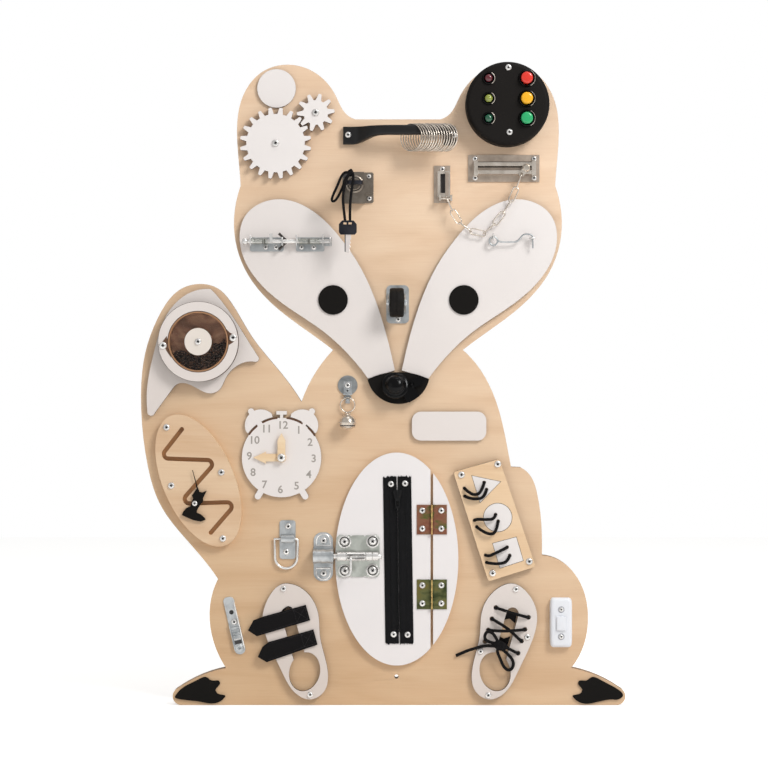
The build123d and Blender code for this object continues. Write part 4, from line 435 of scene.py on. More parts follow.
world = bpy.data.worlds.new("studio")
scene.world = world
world.use_nodes = True
wn, wl = world.node_tree.nodes, world.node_tree.links
plain = wn["Background"]
plain.inputs["Color"].default_value = (1, 1, 1, 1)
plain.inputs["Strength"].default_value = 0.46
white = wn.new("ShaderNodeBackground")
white.inputs["Color"].default_value = (1, 1, 1, 1)
white.inputs["Strength"].default_value = 1.0
path = wn.new("ShaderNodeLightPath")
pick = wn.new("ShaderNodeMixShader")
wl.new(path.outputs["Is Camera Ray"], pick.inputs[0])
wl.new(plain.outputs[0], pick.inputs[1])
wl.new(white.outputs[0], pick.inputs[2])
wl.new(pick.outputs[0], wn["World Output"].inputs["Surface"])


# ---------------------------------------------------- mesh building
def circle_of(sides):
    """Cosine and sine of even steps round a circle."""
    return [(cos(2 * pi * k / sides), sin(2 * pi * k / sides)) for k in range(sides)]


def basis(origin, right=(1, 0, 0), up=(0, 0, 1)):
    """Place whose x runs right, y runs up and z comes out of the face."""
    u, v = Vector(right).normalized(), Vector(up).normalized()
    w = u.cross(v)
    return Matrix.Translation(Vector(origin)) @ Matrix((u, v, w)).transposed().to_4x4()


def front(x, z, level, tilt=0.0):
    """Place on the board at that height, turned by an angle in degrees."""
    t = radians(tilt)
    return basis((x, -level, z), (cos(t), 0, sin(t)), (-sin(t), 0, cos(t)))


def edgeways(x, level, z):
    """Place whose outline is drawn out of the board and up it, and grows to the left."""
    return basis((x, -level, z), (0, -1, 0))


def lengthways(x, level, z):
    """Place whose z runs to the right along the board."""
    return basis((x, -level, z), (0, 1, 0))


flat = basis((0, 0, 0))


def arc(centre, radius, start, end, steps):
    """Points of an arc in a plane, angles in degrees."""
    return [(centre[0] + radius * cos(radians(start + (end - start) * k / steps)),
             centre[1] + radius * sin(radians(start + (end - start) * k / steps))) for k in range(steps + 1)]


def circle(centre, radius, steps):
    return arc(centre, radius, 0, 360, steps)[:-1]


def corners(low, high, radius, steps):
    """Upright rectangle with round corners, from the centres of two of them."""
    return (arc(low, radius, 180, 270, steps) + arc((high[0], low[1]), radius, -90, 0, steps)
            + arc(high, radius, 0, 90, steps) + arc((low[0], high[1]), radius, 90, 180, steps))


def skin(count, sides, closed=False):
    """Faces between rings of vertices, with a cap at each open end."""
    faces = []
    for ring in range(count if closed else count - 1):
        a, b = ring * sides, (ring + 1) % count * sides
        faces += [(a + k, a + (k + 1) % sides, b + (k + 1) % sides, b + k) for k in range(sides)]
    if not closed:
        faces += [tuple(range(sides))[::-1], tuple(range((count - 1) * sides, count * sides))]
    return faces


class Shape:
    """Vertices and faces of one piece, in millimetres."""

    def __init__(self):
        self.verts, self.faces, self.finish = [], [], []

    def add(self, place, verts, faces, finish=0):
        start = len(self.verts)
        self.verts += [place @ Vector(v) for v in verts]
        self.faces += [tuple(i + start for i in face) for face in faces]
        self.finish += [finish] * len(faces)

    def lathe(self, place, profile, sides=32, finish=0):
        """Profile of radius and height, turned round the place's axis."""
        verts, rings = [], []
        for radius, height in profile:
            if radius == 0:
                rings.append([len(verts)] * sides)
                verts.append((0, 0, height))
            else:
                rings.append(list(range(len(verts), len(verts) + sides)))
                verts += [(radius * c, radius * s, height) for c, s in circle_of(sides)]
        faces = []
        for a, b in zip(rings, rings[1:]):
            for k in range(sides):
                face = (a[k], a[(k + 1) % sides], b[(k + 1) % sides], b[k])
                face = tuple(dict.fromkeys(face))
                if len(face) > 2:
                    faces.append(face)
        self.add(place, verts, faces, finish)

    def prism(self, place, outline, low, high, holes=(), finish=0):
        """Plate of one outline between two heights."""
        loops = [list(outline), *map(list, holes)]
        edge = [p for loop in loops for p in loop]
        count = len(edge)
        verts = [(x, y, height) for height in (low, high) for x, y in edge]
        caps = []
        for a, b, c in tessellate_polygon([[Vector((x, y, 0)) for x, y in loop] for loop in loops]):
            pa, pb, pc = (Vector(edge[i]) for i in (a, b, c))
            turn = (pb - pa).cross(pc - pa)
            if abs(turn) < 1e-9:
                continue
            if turn < 0:
                a, c = c, a
            caps += [(c, b, a), (a + count, b + count, c + count)]
        start, walls = 0, []
        for loop in loops:
            n = len(loop)
            area = sum(loop[k][0] * loop[(k + 1) % n][1] - loop[(k + 1) % n][0] * loop[k][1]
                       for k in range(n))
            outward = (area > 0) == (start == 0)
            for k in range(n):
                a, b = start + k, start + (k + 1) % n
                quad = (a, b, b + count, a + count)
                walls.append(quad if outward else quad[::-1])
            start += n
        self.add(place, verts, caps + walls, finish)

    def tube(self, points, radius, sides=8, closed=False, finish=0):
        """Round rod along a line of points."""
        points = [Vector(p) for p in points]
        count = len(points)
        radii = radius if isinstance(radius, (list, tuple)) else [radius] * count
        tangents = []
        for k in range(count):
            before = points[k - 1] if closed or k else points[0]
            after = points[(k + 1) % count] if closed or k < count - 1 else points[-1]
            tangents.append((after - before).normalized())
        first = Vector((0, 1, 0)) if abs(tangents[0].y) < 0.9 else Vector((1, 0, 0))
        u = (first - tangents[0] * first.dot(tangents[0])).normalized()
        verts = []
        for point, tangent, r in zip(points, tangents, radii):
            u = (u - tangent * u.dot(tangent)).normalized()
            v = tangent.cross(u)
            verts += [point + u * (r * c) + v * (r * s) for c, s in circle_of(sides)]
        self.add(Matrix.Identity(4), verts, skin(count, sides, closed), finish)

    def loft(self, sections, sides=24, finish=0):
        """Skin over sections: centre, half width vector, half height vector and squareness."""
        verts = []
        for centre, half_u, half_v, power in sections:
            for c, s in circle_of(sides):
                u = abs(c) ** (2 / power) * (1 if c > 0 else -1)
                v = abs(s) ** (2 / power) * (1 if s > 0 else -1)
                verts.append(Vector(centre) + Vector(half_u) * u + Vector(half_v) * v)
        self.add(Matrix.Identity(4), verts, skin(len(sections), sides), finish)

    def screw(self, x, z, level, radius=4.0, height=2.0, turn=20.0, bright=0, dark=1):
        """Pan head with a cross recess."""
        arm, half = 0.4 * radius, 0.16 * radius
        corner = atan2(half, arm)
        quarter = [0.0, corner, radians(29), radians(45), radians(61), pi / 2 - corner]
        angles = [q * pi / 2 + a for q in range(4) for a in quarter]
        sides = len(angles)

        def cross(angle, grow):
            c, s = abs(cos(angle)) + 1e-9, abs(sin(angle)) + 1e-9
            reach = max(min(arm / c, half / s), min(half / c, arm / s)) * grow
            return reach * cos(angle), reach * sin(angle)

        verts = []
        for r, h in ((1.0, 0.0), (1.0, 0.2), (0.93, 0.55), (0.78, 0.85), (0.62, 0.98)):
            verts += [(radius * r * cos(a), radius * r * sin(a), height * h) for a in angles]
        verts += [(*cross(a, 1.0), height) for a in angles]
        verts += [(*cross(a, 0.72), height * 0.35) for a in angles]
        verts.append((0, 0, height * 0.2))
        place = front(x, z, level, turn)
        rings = [range(k * sides, (k + 1) * sides) for k in range(7)]
        shell, hole = [], []
        for number, (a, b) in enumerate(zip(rings, rings[1:])):
            quads = [(a[k], a[(k + 1) % sides], b[(k + 1) % sides], b[k]) for k in range(sides)]
            (hole if number == 5 else shell).extend(quads)
        last = rings[6]
        hole += [(last[k], last[(k + 1) % sides], len(verts) - 1) for k in range(sides)]
        self.add(place, verts, shell, bright)
        # The cross recess takes the dark finish: painted shade in the hollow.
        start = len(self.verts) - len(verts)
        self.faces += [tuple(i + start for i in face) for face in hole]
        self.finish += [dark] * len(hole)
        self.faces.append(tuple(start + k for k in reversed(rings[0])))
        self.finish.append(bright)

    def build(self, name, body, slot, looks, replaces=(), bevel=0.0, angle=35.0):
        """Finished piece in metres, riding on a body."""
        mesh = bpy.data.meshes.new(name)
        mesh.from_pydata([v * MM for v in self.verts], [], self.faces)
        mesh.polygons.foreach_set("material_index", self.finish)
        mesh.polygons.foreach_set("use_smooth", [True] * len(mesh.polygons))
        mesh.validate()
        edit = bmesh.new()
        edit.from_mesh(mesh)
        bmesh.ops.remove_doubles(edit, verts=edit.verts, dist=1e-6)
        bmesh.ops.recalc_face_normals(edit, faces=edit.faces)
        edit.to_mesh(mesh)
        edit.free()
        mesh.set_sharp_from_angle(angle=radians(angle))
        obj = bpy.data.objects.new(name, mesh)
        bpy.context.collection.objects.link(obj)
        for look in looks:
            mesh.materials.append(LOOKS[look])
        if bevel:
            soften(obj, bevel)
        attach(obj, body)
        if replaces:
            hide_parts(*replaces)
        return obj


def box(shape, low, high, level, rise, finish=0, holes=()):
    """Upright rectangular block on the front of the board."""
    shape.prism(flat, rect(low, high), level, level + rise, holes, finish)


def soften(obj, width, weld=False):
    """Small rounds along the sharp edges."""
    if weld:
        join = obj.modifiers.new("weld", "WELD")
        join.merge_threshold = 2e-6
    bevel = obj.modifiers.new("bevel", "BEVEL")
    bevel.width = width * MM
    bevel.segments = 2
    bevel.limit_method = "ANGLE"
    bevel.angle_limit = radians(38)
    bevel.harden_normals = True


def finish_node(node, look, bevel=0.3):
    """A solid that keeps its shape and gets its real finish."""
    obj = NODES[node]
    for slot in obj.material_slots:
        slot.material = LOOKS[look]
    if bevel:
        soften(obj, bevel, weld=True)


def rounded(points, bend, steps=5):
    """Wire bent through corners, with an even radius."""
    points = [Vector(p) for p in points]
    line = [points[0]]
    for before, here, after in zip(points, points[1:], points[2:]):
        a, b = (before - here), (after - here)
        reach = min(bend, a.length * 0.45, b.length * 0.45)
        p, q = here + a.normalized() * reach, here + b.normalized() * reach
        for k in range(steps + 1):
            t = k / steps
            line.append(p * (1 - t) ** 2 + here * 2 * t * (1 - t) + q * t ** 2)
    return line + [points[-1]]


# ---------------------------------------------------- solids that stay as they are
FINISHES = [  # look, round of the edges, solids
    ("ply", 0.8, "back_board"),
    ("white", 0.85, "white_plates"),
    ("black", 0.3, "black_trim cat_slider"),
    ("clock", 0.7, "clock_face"),
    ("hand", 0.2, "hour_hand minute_hand"),
    ("maze", 0.3, "maze_plate"),
    ("lacing", 0.3, "lacing_plate"),
    ("gear", 0.2, "shape_triangle shape_circle shape_square"),
    ("gear", 0.5, "gear_large gear_small"),
    ("door", 0.5, "oval_fixed_leaf oval_door"),
    ("chromate", 0.12, "hinge_leaves_fixed hinge_leaves_door"),
    ("nickel", 0.2, "chain_plates chain_carriage chain_left_run chain_right_run jingle_bell"),
    ("dark_metal", 0.4, "lock_case"),
    ("key", 0.2, "lock_key spare_key"),
    ("handle", 0.4, "ring_handle"),
    ("nickel", 0.0, "key_rings"),
    ("zinc", 0.0, "gate_hook"),
    ("zinc", 0.2, "spring_bolt_brackets spring_bolt_rod caster_frame zinc_plates latch_slide"),
    ("rubber", 0.2, "caster_wheel"),
    ("gloss_black", 0.3, "bike_bell"),
    ("gloss_black", 0.5, "bell_lever"),
    ("zinc", 0.3, "door_bolt_keeper"),
    ("satin", 0.3, "door_bolt_base door_bolt_rod"),
    ("tape", 0.2, "zipper_tapes"),
    ("handle", 0.3, "zipper_slider"),
    ("zinc", 0.5, "d_ring"),
    ("strap", 0.3, "strap_upper strap_lower"),
    ("white_plastic", 0.5, "switch_housing"),
    ("white_plastic", 0.4, "switch_button"),
    ("cap", 0.5, "panel_cap"),
    ("red", 0.6, "button_red"),
    ("amber", 0.6, "button_amber"),
    ("green", 0.6, "button_green"),
    ("white", 0.3, "seed_drum"),
    ("white", 0.5, "drum_ring"),
    ("bright", 0.2, "door_fasteners board_fasteners"),
    ("cord", 0.0, "lace_triangle lace_circle lace_square shoe_lace key_cord"),
]
for look, bevel, names in FINISHES:
    for node in names.split():
        finish_node(node, look, bevel)

# ---------------------------------------------------- screws, pins and screw eyes
random.seed(4)
BOARD_SCREWS = [  # level of the seat, radius of the head, places
    (26.3, 4.0, [(-135.4, 617.2), (-91.4, 650.9)]),
    (27.3, 4.6, [(-129.0, 272.2)]),
    (TOP, 3.4, [(-56.0, 626.4), (60.4, 626.0)]),
    (20.0, 2.8, [(-33.2, 581.0), (-32.6, 556.8)]),
    (ON_FACE, 3.1, [(47.6, 589.0), (83.6, 600.6), (148.4, 600.6), (83.6, 579.4), (148.4, 579.4)]),
    (ON_TOP, 2.8, [(-146.3, 502.9), (-134.8, 502.9), (-106.9, 502.9), (-93.5, 502.9)]),
    (20.0, 3.1, [(-0.8, 423.8)]),
    (20.5, 3.5, [(-56.4, 351.6)]),
    (ON_FACE, 3.5, [(-121.8, 196.5), (-123.8, 168.5), (-181.1, 91.6)]),
    (ON_FACE, 3.8, [(-82.9, 180.8), (-82.9, 144.9)]),
    (26.0, 3.8, [(-255.0, 305.5), (-194.9, 256.1), (-249.7, 241.6), (-193.1, 183.6)]),
    (25.0, 3.5, [(46.4, 214.1), (46.4, 194.3), (46.4, 132.1), (46.4, 112.3)]),
    (36.0, 4.2, [(-258.0, 395.0), (-181.4, 403.6)]),
    (26.0, 3.9, [(68.5, 253.4), (108.2, 265.1), (142.8, 158.4), (102.6, 145.5)]),
    (TOP, 3.5, [(-126.8, 128.4), (-97.5, 12.1), (128.3, 127.8), (141.0, 75.4), (89.5, 59.6), (97.9, 11.4)]),
    (27.0, 2.6, [(177.8, 105.7), (177.8, 76.0)]),
    (DOME, 3.5, [(119.2, 698.0), (120.3, 627.6)]),
]
DOOR_SCREWS = [
    (25.0, 3.5, [(25.6, 214.1), (25.6, 194.3), (25.6, 132.1), (25.6, 112.3)]),
    (25.0, 3.5, [(-8.8, 243.2), (6.6, 243.8), (-5.9, 78.3), (9.4, 77.9)]),
    (25.9, 4.4, [(-59.7, 180.0), (-28.9, 180.4), (-59.3, 148.2), (-28.9, 148.6)]),
]


def screws(shape, groups):
    for level, radius, places in groups:
        for x, z in places:
            shape.screw(x, z, level, radius, 1.6 + 0.12 * radius, random.uniform(0, 90))


def ring_line(centre, radius, u, v, steps=24):
    """Points of a circle about a centre, in the plane of two directions."""
    centre, u, v = Vector(centre), Vector(u).normalized(), Vector(v).normalized()
    return [centre + (u * cos(2 * pi * k / steps) + v * sin(2 * pi * k / steps)) * radius
            for k in range(steps)]


HOOK_LEVEL = 30.5
EYES = [((103.4, -HOOK_LEVEL, 514.1), (0, 1, 0), (0, 0, 1)),
        ((146.3, -HOOK_LEVEL, 512.6), (1, 0, 0), (0, 1, 0))]
EYE_R, EYE_WIRE, SHANK_R = 3.3, 0.9, 1.0
fasteners = Shape()
screws(fasteners, BOARD_SCREWS)
for spot in ((-135.4, 617.2), (-91.4, 650.9)):
    fasteners.lathe(front(*spot, FACE), [(1.6, 0), (3.2, 0), (3.2, 0.7), (1.6, 0.7), (1.6, 8.4)], 20)
fasteners.lathe(front(-129.0, 272.2, 22.0), [(1.6, 0), (1.6, 5.4)], 16)
for centre, u, v in EYES:
    fasteners.tube(ring_line(centre, EYE_R, u, v), EYE_WIRE, 8, closed=True)
    fasteners.tube([(centre[0], -TOP, centre[2]), (centre[0], centre[1] + 3.2, centre[2])], SHANK_R, 10)
    fasteners.lathe(front(centre[0], centre[2], TOP), [(0, 0), (2.1, 0), (2.0, 0.6), (1.1, 1.0), (0, 1.0)],
                    16)
fasteners.build("screws_in_board", "board", "screws", ["bright", "recess"], ["board_fasteners"], angle=50)

fasteners = Shape()
screws(fasteners, DOOR_SCREWS)
fasteners.build("screws_in_door", "door", "fixings", ["bright", "recess"], ["door_fasteners"], angle=50)

# ---------------------------------------------------- bow handle and its split rings
HANDLE_Z = 630.0
HANDLE_PATH = [  # x, level, turn out of the board, half thickness, middle height, half height, squareness
    (-61.4, 21.0, 0, 3.0, 625.8, 9.6, 14), (-50.0, 21.0, 0, 3.0, 625.8, 9.6, 14),
    (-45.5, 21.8, 20, 3.1, 626.3, 9.2, 12), (-40.5, 25.6, 44, 3.3, 627.1, 8.3, 9),
    (-35.0, 31.3, 46, 3.7, 628.1, 7.2, 7), (-29.0, 36.8, 36, 4.2, 629.2, 6.1, 5),
    (-22.0, 40.6, 20, 4.6, 629.8, 5.5, 4), (-13.0, 42.0, 0, 4.8, HANDLE_Z, 5.4, 4),
    (15.0, 42.2, 0, 4.8, HANDLE_Z, 5.4, 4), (42.0, 42.0, 0, 4.8, HANDLE_Z, 5.4, 4),
    (49.5, 40.4, -28, 4.6, 629.6, 5.6, 4), (54.0, 36.0, -62, 4.2, 629.0, 6.2, 5),
    (55.6, 30.0, -84, 3.8, 628.0, 7.4, 6), (56.0, 22.0, -90, 3.8, 627.4, 8.4, 7),
]
handle = Shape()
sections = []
for x, level, turn, thick, middle, half, power in HANDLE_PATH:
    t = radians(turn)
    sections.append(((x, -level, middle), (sin(t) * thick, cos(t) * thick, 0), (0, 0, half), power))
handle.loft(sections, 36)
foot = arc((58.2, 619.6), 4.6, -90, 0, 5) + arc((58.2, 632.4), 4.6, 0, 90, 5)
foot += [(50.0, 637.0), (48.8, 635.8), (48.8, 616.2), (50.0, 615.0)]
handle.prism(flat, foot, FACE, TOP)
handle.build("bow_handle", "board", "black_plastic", ["handle"], ["ring_handle"], bevel=0.5, angle=40)

RING_TURN = radians(39.5)
RING_U, RING_N = Vector((cos(RING_TURN), -sin(RING_TURN), 0)), Vector((sin(RING_TURN), cos(RING_TURN), 0))
RINGS, RING_STEP, RING_R, RING_WIRE = 15, 2.74, 14.9, 0.58
TURN_STEPS, TURN_RISE = 26, 0.85  # points to one of a ring's two turns, and how far the ends lie apart
rings = Shape()
for k in range(RINGS):
    centre = Vector((13.4 + RING_STEP * k, -BAR_LEVEL, 621.9 + random.uniform(-0.2, 0.2)))
    lean = radians(random.uniform(-1.5, 1.5))
    up = Vector((0, 0, 1)) * cos(lean) + RING_N * sin(lean)
    start = random.uniform(0, 2 * pi)
    line = []
    for step in range(2 * TURN_STEPS + 1):
        a = start + 2 * pi * step / TURN_STEPS
        rise = (step / (2 * TURN_STEPS) - 0.5) * TURN_RISE
        line.append(centre + (RING_U * cos(a) + up * sin(a)) * RING_R + RING_N * rise)
    rings.tube(line, RING_WIRE, 6)
rings.build("split_rings", "rings", "nickel", ["nickel"], ["key_rings"], angle=80)

# ---------------------------------------------------- door chain
CHAIN_LEVEL = 29.5
LINK_PITCH, LINK_HALF, LINK_BEND, LINK_WIRE = 15.4, 5.6, 3.15, 0.72
HANG_ANGLE, JOIN_ANGLE = radians(-66), radians(20)  # where each half of the chain hangs in its ring
LEFT_RUN, RIGHT_RUN = [-66.0, -58.0, -37.0, -13.0], [40.0, 52.0, 58.0, 66.0, 70.0]


def chain(name, body, node, start, slopes):
    """Oval links of round wire, hooked one into the next, every second one seen edge on."""
    links = Shape()
    x, z = start
    for number, slope in enumerate(slopes):
        along = Vector((cos(radians(slope)), 0, sin(radians(slope))))
        aside = Vector((0, -1, 0)) if number % 2 == 0 else Vector((-along.z, 0, along.x))
        middle = Vector((x, -CHAIN_LEVEL, z)) + along * LINK_PITCH / 2
        bend = [radians(-90 + 180 * k / 8) for k in range(9)]
        line = [middle + (along * (LINK_HALF + LINK_BEND * cos(a)) + aside * LINK_BEND * sin(a)) * way
                for way in (1, -1) for a in bend]
        links.tube(line, LINK_WIRE, 8, closed=True)
        x, z = x + along.x * LINK_PITCH, z + along.z * LINK_PITCH
    links.build(name, body, "nickel", ["nickel"], [node], angle=80)
    return x, z


REACH = 2.15 - 1.05  # play of the first link on the cross pin
chain_top = (52.4 - REACH * cos(HANG_ANGLE), 556.0 - REACH * sin(HANG_ANGLE))
chain_low = chain("chain_left", "left_chain", "chain_left_run", chain_top, LEFT_RUN)
chain_join = (chain_low[0] - 0.9 * cos(JOIN_ANGLE), chain_low[1] + 1.2)
chain("chain_right", "right_chain", "chain_right_run", chain_join, RIGHT_RUN)

mounts = Shape()
box(mounts, (38.4, 552.0), (56.4, 593.0), FACE, SHEET)
well = rect((45.4, 562.6), (50.6, 583.6))
box(mounts, (42.2, 557.8), (56.0, 586.8), ON_FACE, 5.5, 1, [well])
# Dark floor in the anchor's well: painted shade.
box(mounts, (45.4, 562.6), (50.6, 583.6), ON_FACE, 0.6, 2)
box(mounts, (50.9, 560.0), (54.4, 585.0), 25.0, 0.8)
for left, right in ((43.9, 45.9), (56.0, 58.2)):
    box(mounts, (left, 553.5), (right, 560.0), ON_FACE, 11.4, 1)
mounts.tube([(45.4, -CHAIN_LEVEL, 556.0), (56.9, -CHAIN_LEVEL, 556.0)], 0.8, 10, finish=1)
box(mounts, (76.0, 575.2), (154.4, 604.8), FACE, SHEET)
# Dark lines beside the track's rails: painted shade.
box(mounts, (86.5, 591.0), (145.4, 592.2), ON_FACE, 0.2, 2)
box(mounts, (84.0, 596.5), (147.6, 597.5), ON_FACE, 0.2, 2)
for low, wall in ((592.2, 594.9), (583.4, 583.4)):
    box(mounts, (84.0, low), (147.6, low + 4.0), 25.0, 1.5, 1)
    box(mounts, (84.0, wall), (147.6, wall + 1.3), ON_FACE, 5.5)
for left, right in ((82.0, 86.4), (145.6, 150.4)):
    box(mounts, (left, 581.6), (right, 598.0), ON_FACE, 7.6, 1)
mounts.build("chain_mounts", "board", "nickel", ["chain", "nickel", "recess"], ["chain_plates"], bevel=0.5,
             angle=40)

# ---------------------------------------------------- wire hook
hook = Shape()
HOOK_WIRE = 0.95
hook.tube(ring_line((103.4, -HOOK_LEVEL, 509.5), 4.6, (1, 0, 0), (0, 0, 1)), HOOK_WIRE, 8, closed=True)
line = [(107.6, 509.9), (112, 508.4), (129.5, 508.6), (135.5, 516.2), (139, 517.2), (146.0, 516.6),
        (146.6, 501.6)]
hook.tube(rounded([(x, -HOOK_LEVEL, z) for x, z in line], 3.4), HOOK_WIRE, 8)
hook.build("wire_hook", "hook", "zinc", ["zinc"], ["gate_hook"], angle=80)

# ---------------------------------------------------- tower bolt on the left patch
BOLT_Z, BOLT_LEVEL, BOLT_R = 509.1, 31.0, 2.2
rod = Shape()
rod.tube([(-170, -BOLT_LEVEL, BOLT_Z), (-74.4, -BOLT_LEVEL, BOLT_Z)], BOLT_R, 20)
rod.lathe(lengthways(-171.6, BOLT_LEVEL, BOLT_Z),
          [(0, 0), (2.6, 0.1), (3.8, 1.0), (4.3, 2.6), (4.0, 4.4), (2.9, 5.6), (2.2, 6.0), (0, 6.0)], 24)
rod.lathe(lengthways(-76.6, BOLT_LEVEL, BOLT_Z), [(0, 0), (2.3, 0), (2.3, 2.0), (1.6, 2.4), (0, 2.4)], 20)
rod.prism(flat, [(-141.6, 507.6), (-138.4, 507.6), (-138.2, 517.4), (-140.0, 518.1), (-141.8, 517.4)],
          BOLT_LEVEL, 36.6)
# Dark collars on the rod inside the springs: painted shade.
for x in (-149.6, -100.4):
    rod.lathe(lengthways(x, BOLT_LEVEL, BOLT_Z), rect((0, 0), (2.6, 3.6)), 20, finish=1)
rod.build("bolt_rod", "patch_bolt", "zinc", ["bright", "dark_metal"], ["spring_bolt_rod"], bevel=0.3,
          angle=40)

ABOVE = BOLT_LEVEL - TOP
brackets = Shape()
for left, right in ((-163.5, -126.5), (-113.0, -82.0)):
    plate = arc((right - 2, 500.4), 2, -90, 0, 3) + [(right, 513.8), (left, 513.8)]
    plate += arc((left + 2, 500.4), 2, 180, 270, 3)
    brackets.prism(flat, plate, TOP, ON_TOP)
for x, tall in ((-163.5, 7.0), (-128.5, 4.7), (-113.0, 7.4), (-84.0, 7.8), (-76.0, 4.7)):
    ear = ((4.6, -4.7), (4.6, 2.6), (2.8, tall), (-2.4, tall), (-5.6, 4.7), (-5.6, -4.7))
    bore = [[(ABOVE + a, b) for a, b in circle((0, 0), 2.75, 20)]]
    brackets.prism(edgeways(x, TOP, BOLT_Z), [(ABOVE + a, b) for a, b in ear], -SHEET, 0.0, bore, finish=2)
brackets.prism(flat, rect((-81.5, 504.4), (-74.0, 513.8)), TOP, ON_TOP)
PRONG_Z = 509.3
for side in (8.6, -9.2):
    prong = [(-122.8, -27.6, PRONG_Z + side * 0.1), (-126.8, -29.6, PRONG_Z + side * 0.45),
             (-131.6, -30.8, PRONG_Z + side)]
    brackets.tube(prong, [1.0, 1.3, 1.5], 10, finish=1)
brackets.build("bolt_brackets", "board", "zinc", ["zinc", "dark_metal", "bright"], ["spring_bolt_brackets"],
               bevel=0.25, angle=40)

COIL_PITCH, COIL_R, COIL_WIRE, COIL_STEPS = 1.5, 3.1, 0.45, 12
for name, start, end in (("spring_left", -161.0, -143.4), ("spring_right", -110.6, -86.4)):
    coil = Shape()
    steps = COIL_STEPS * int((end - start) / COIL_PITCH)
    line = []
    for k in range(steps + 1):
        a = 2 * pi * k / COIL_STEPS
        line.append((start + (end - start) * k / steps, -BOLT_LEVEL - COIL_R * cos(a),
                     BOLT_Z + COIL_R * sin(a)))
    coil.tube(line, COIL_WIRE, 5)
    coil.build(name, "board", "zinc", ["satin"], angle=80)

# ---------------------------------------------------- cam lock with a key in it
LOCK_AXIS, LOCK_SEAT, LOCK_TOP = (-48.6, 572.0), 20.0, 28.0


def curve_cord(name, body, look, points, thickness, replaces=()):
    """Cord along one smooth open spline, with the points as its control points."""
    data = bpy.data.curves.new(name, "CURVE")
    data.dimensions = "3D"
    data.bevel_depth = thickness / 2 * MM
    data.bevel_resolution = 4
    data.resolution_u = 12
    data.use_fill_caps = True
    spline = data.splines.new("NURBS")
    spline.points.add(len(points) - 1)
    for target, point in zip(spline.points, points):
        target.co = (*(c * MM for c in point), 1.0)
    spline.order_u = 3
    spline.use_endpoint_u = True
    obj = bpy.data.objects.new(name, data)
    bpy.context.collection.objects.link(obj)
    data.materials.append(LOOKS[look])
    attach(obj, body)
    if replaces:
        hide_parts(*replaces)
    return obj


lock = Shape()
plate = (arc((-59, 554), 3, 180, 270, 3) + arc((-30, 554), 2, -90, 0, 3) + arc((-30, 583.5), 2, 0, 90, 3)
         + arc((-59, 582.5), 3, 90, 180, 3))
lock.prism(flat, plate, FACE, LOCK_SEAT)
case = (arc((-59, 554), 3, 180, 270, 3) + [(-37.8, 551), (-37.8, 561.8)] + arc((-30, 563.8), 2, -90, 0, 3)
        + arc((-30, 574.0), 2, 0, 90, 3) + [(-38.4, 576.0), (-38.4, 585.5)]
        + arc((-59, 582.5), 3, 90, 180, 3))
lock.prism(flat, case, LOCK_SEAT, LOCK_TOP)
lock.lathe(front(*LOCK_AXIS, LOCK_TOP), [(9.6, 0), (9.6, 0.8), (8.8, 1.3), (7.4, 1.3)], 40)
# Dark ring in the groove round the cylinder: painted shade.
lock.lathe(front(*LOCK_AXIS, LOCK_TOP), [(7.4, 1.3), (7.2, 0.6), (6.7, 0.6)], 40, finish=1)
lock.lathe(front(*LOCK_AXIS, LOCK_TOP), [(6.7, 0.6), (6.6, 3.4), (6.0, 4.0), (4.6, 4.0), (4.4, 3.6),
                                         (0, 3.6)], 40)
for x, z in ((-32.9, 581.0), (-32.9, 556.6), (-58.4, 581.4)):
    box(lock, (x - 2.6, z - 2.6), (x + 2.6, z + 2.6), LOCK_SEAT if x > -40 else LOCK_TOP, 0.15, 1)
lock.build("lock_body", "board", "nickel", ["lock", "recess"], ["lock_case"], bevel=0.45, angle=40)

key = Shape()
across = basis((LOCK_AXIS[0], 0, LOCK_AXIS[1]), (1, 0, 0), (0, -1, 0))
key.prism(across, rect((-4, 30.5), (4, 37)), -1.0, 1.0, finish=1)
grip = ([(-4.6, 36), (4.6, 36)] + arc((5.5, 41.5), 4.0, -50, 0, 4) + arc((5.5, 51.0), 4.0, 0, 90, 5)
        + arc((-5.5, 51.0), 4.0, 90, 180, 5) + arc((-5.5, 41.5), 4.0, 180, 230, 4))
key.prism(across, grip, -2.2, 2.2, [circle((0, 49.5), 2.4, 16)])
key.build("turned_key", "key", "satin_steel", ["key", "pale_key"], ["lock_key"], bevel=0.6, angle=40)

# ---------------------------------------------------- spare key on an elastic cord
CORD_ROUTE = [(-58.8, -54, 530.5), (-60.2, -55, 542), (-61.4, -56.3, 557), (-58.5, -57.3, 571),
              (-55, -57.3, 580.5), (-50.2, -57.3, 583), (-49.6, -57.3, 575), (-52, -57.3, 561),
              (-53.6, -56.3, 545), (-53.4, -54, 530.5)]
BIGHT_ROUTE = [(-53, -55, 581.5), (-58, -52.5, 584), (-62.5, -51, 580), (-67.3, -50.8, 568),
               (-72.8, -50.8, 556.5), (-73.4, -50.8, 551.8), (-70.4, -50.8, 551.4), (-66.2, -50.8, 556.5),
               (-61.2, -50.8, 567.5), (-59.2, -51.6, 574.5), (-56.4, -53.5, 579), (-53, -55, 581.5)]
key_loop = curve_cord("key_loop", "pendant", "cord", CORD_ROUTE, 3.0, ["key_cord"])
key_bight = curve_cord("key_bight", "pendant", "cord", BIGHT_ROUTE, 2.8)
knot = Shape()
for turn in range(2):
    line = [(-53 + 2.2 * cos(a), -55.2 - 1.2 * sin(a + turn), 582 + 2.0 * sin(a) + (turn - 0.5) * 1.6)
            for a in (2 * pi * k / 14 for k in range(14))]
    knot.tube(line, 1.15, 8, closed=True)
knot.tube([(-52.4, -55.2, 582), (-52.2, -55.4, 586.4)], 1.1, 8)
knot.build("cord_knot", "pendant", "elastic_cord", ["cord"], angle=80)

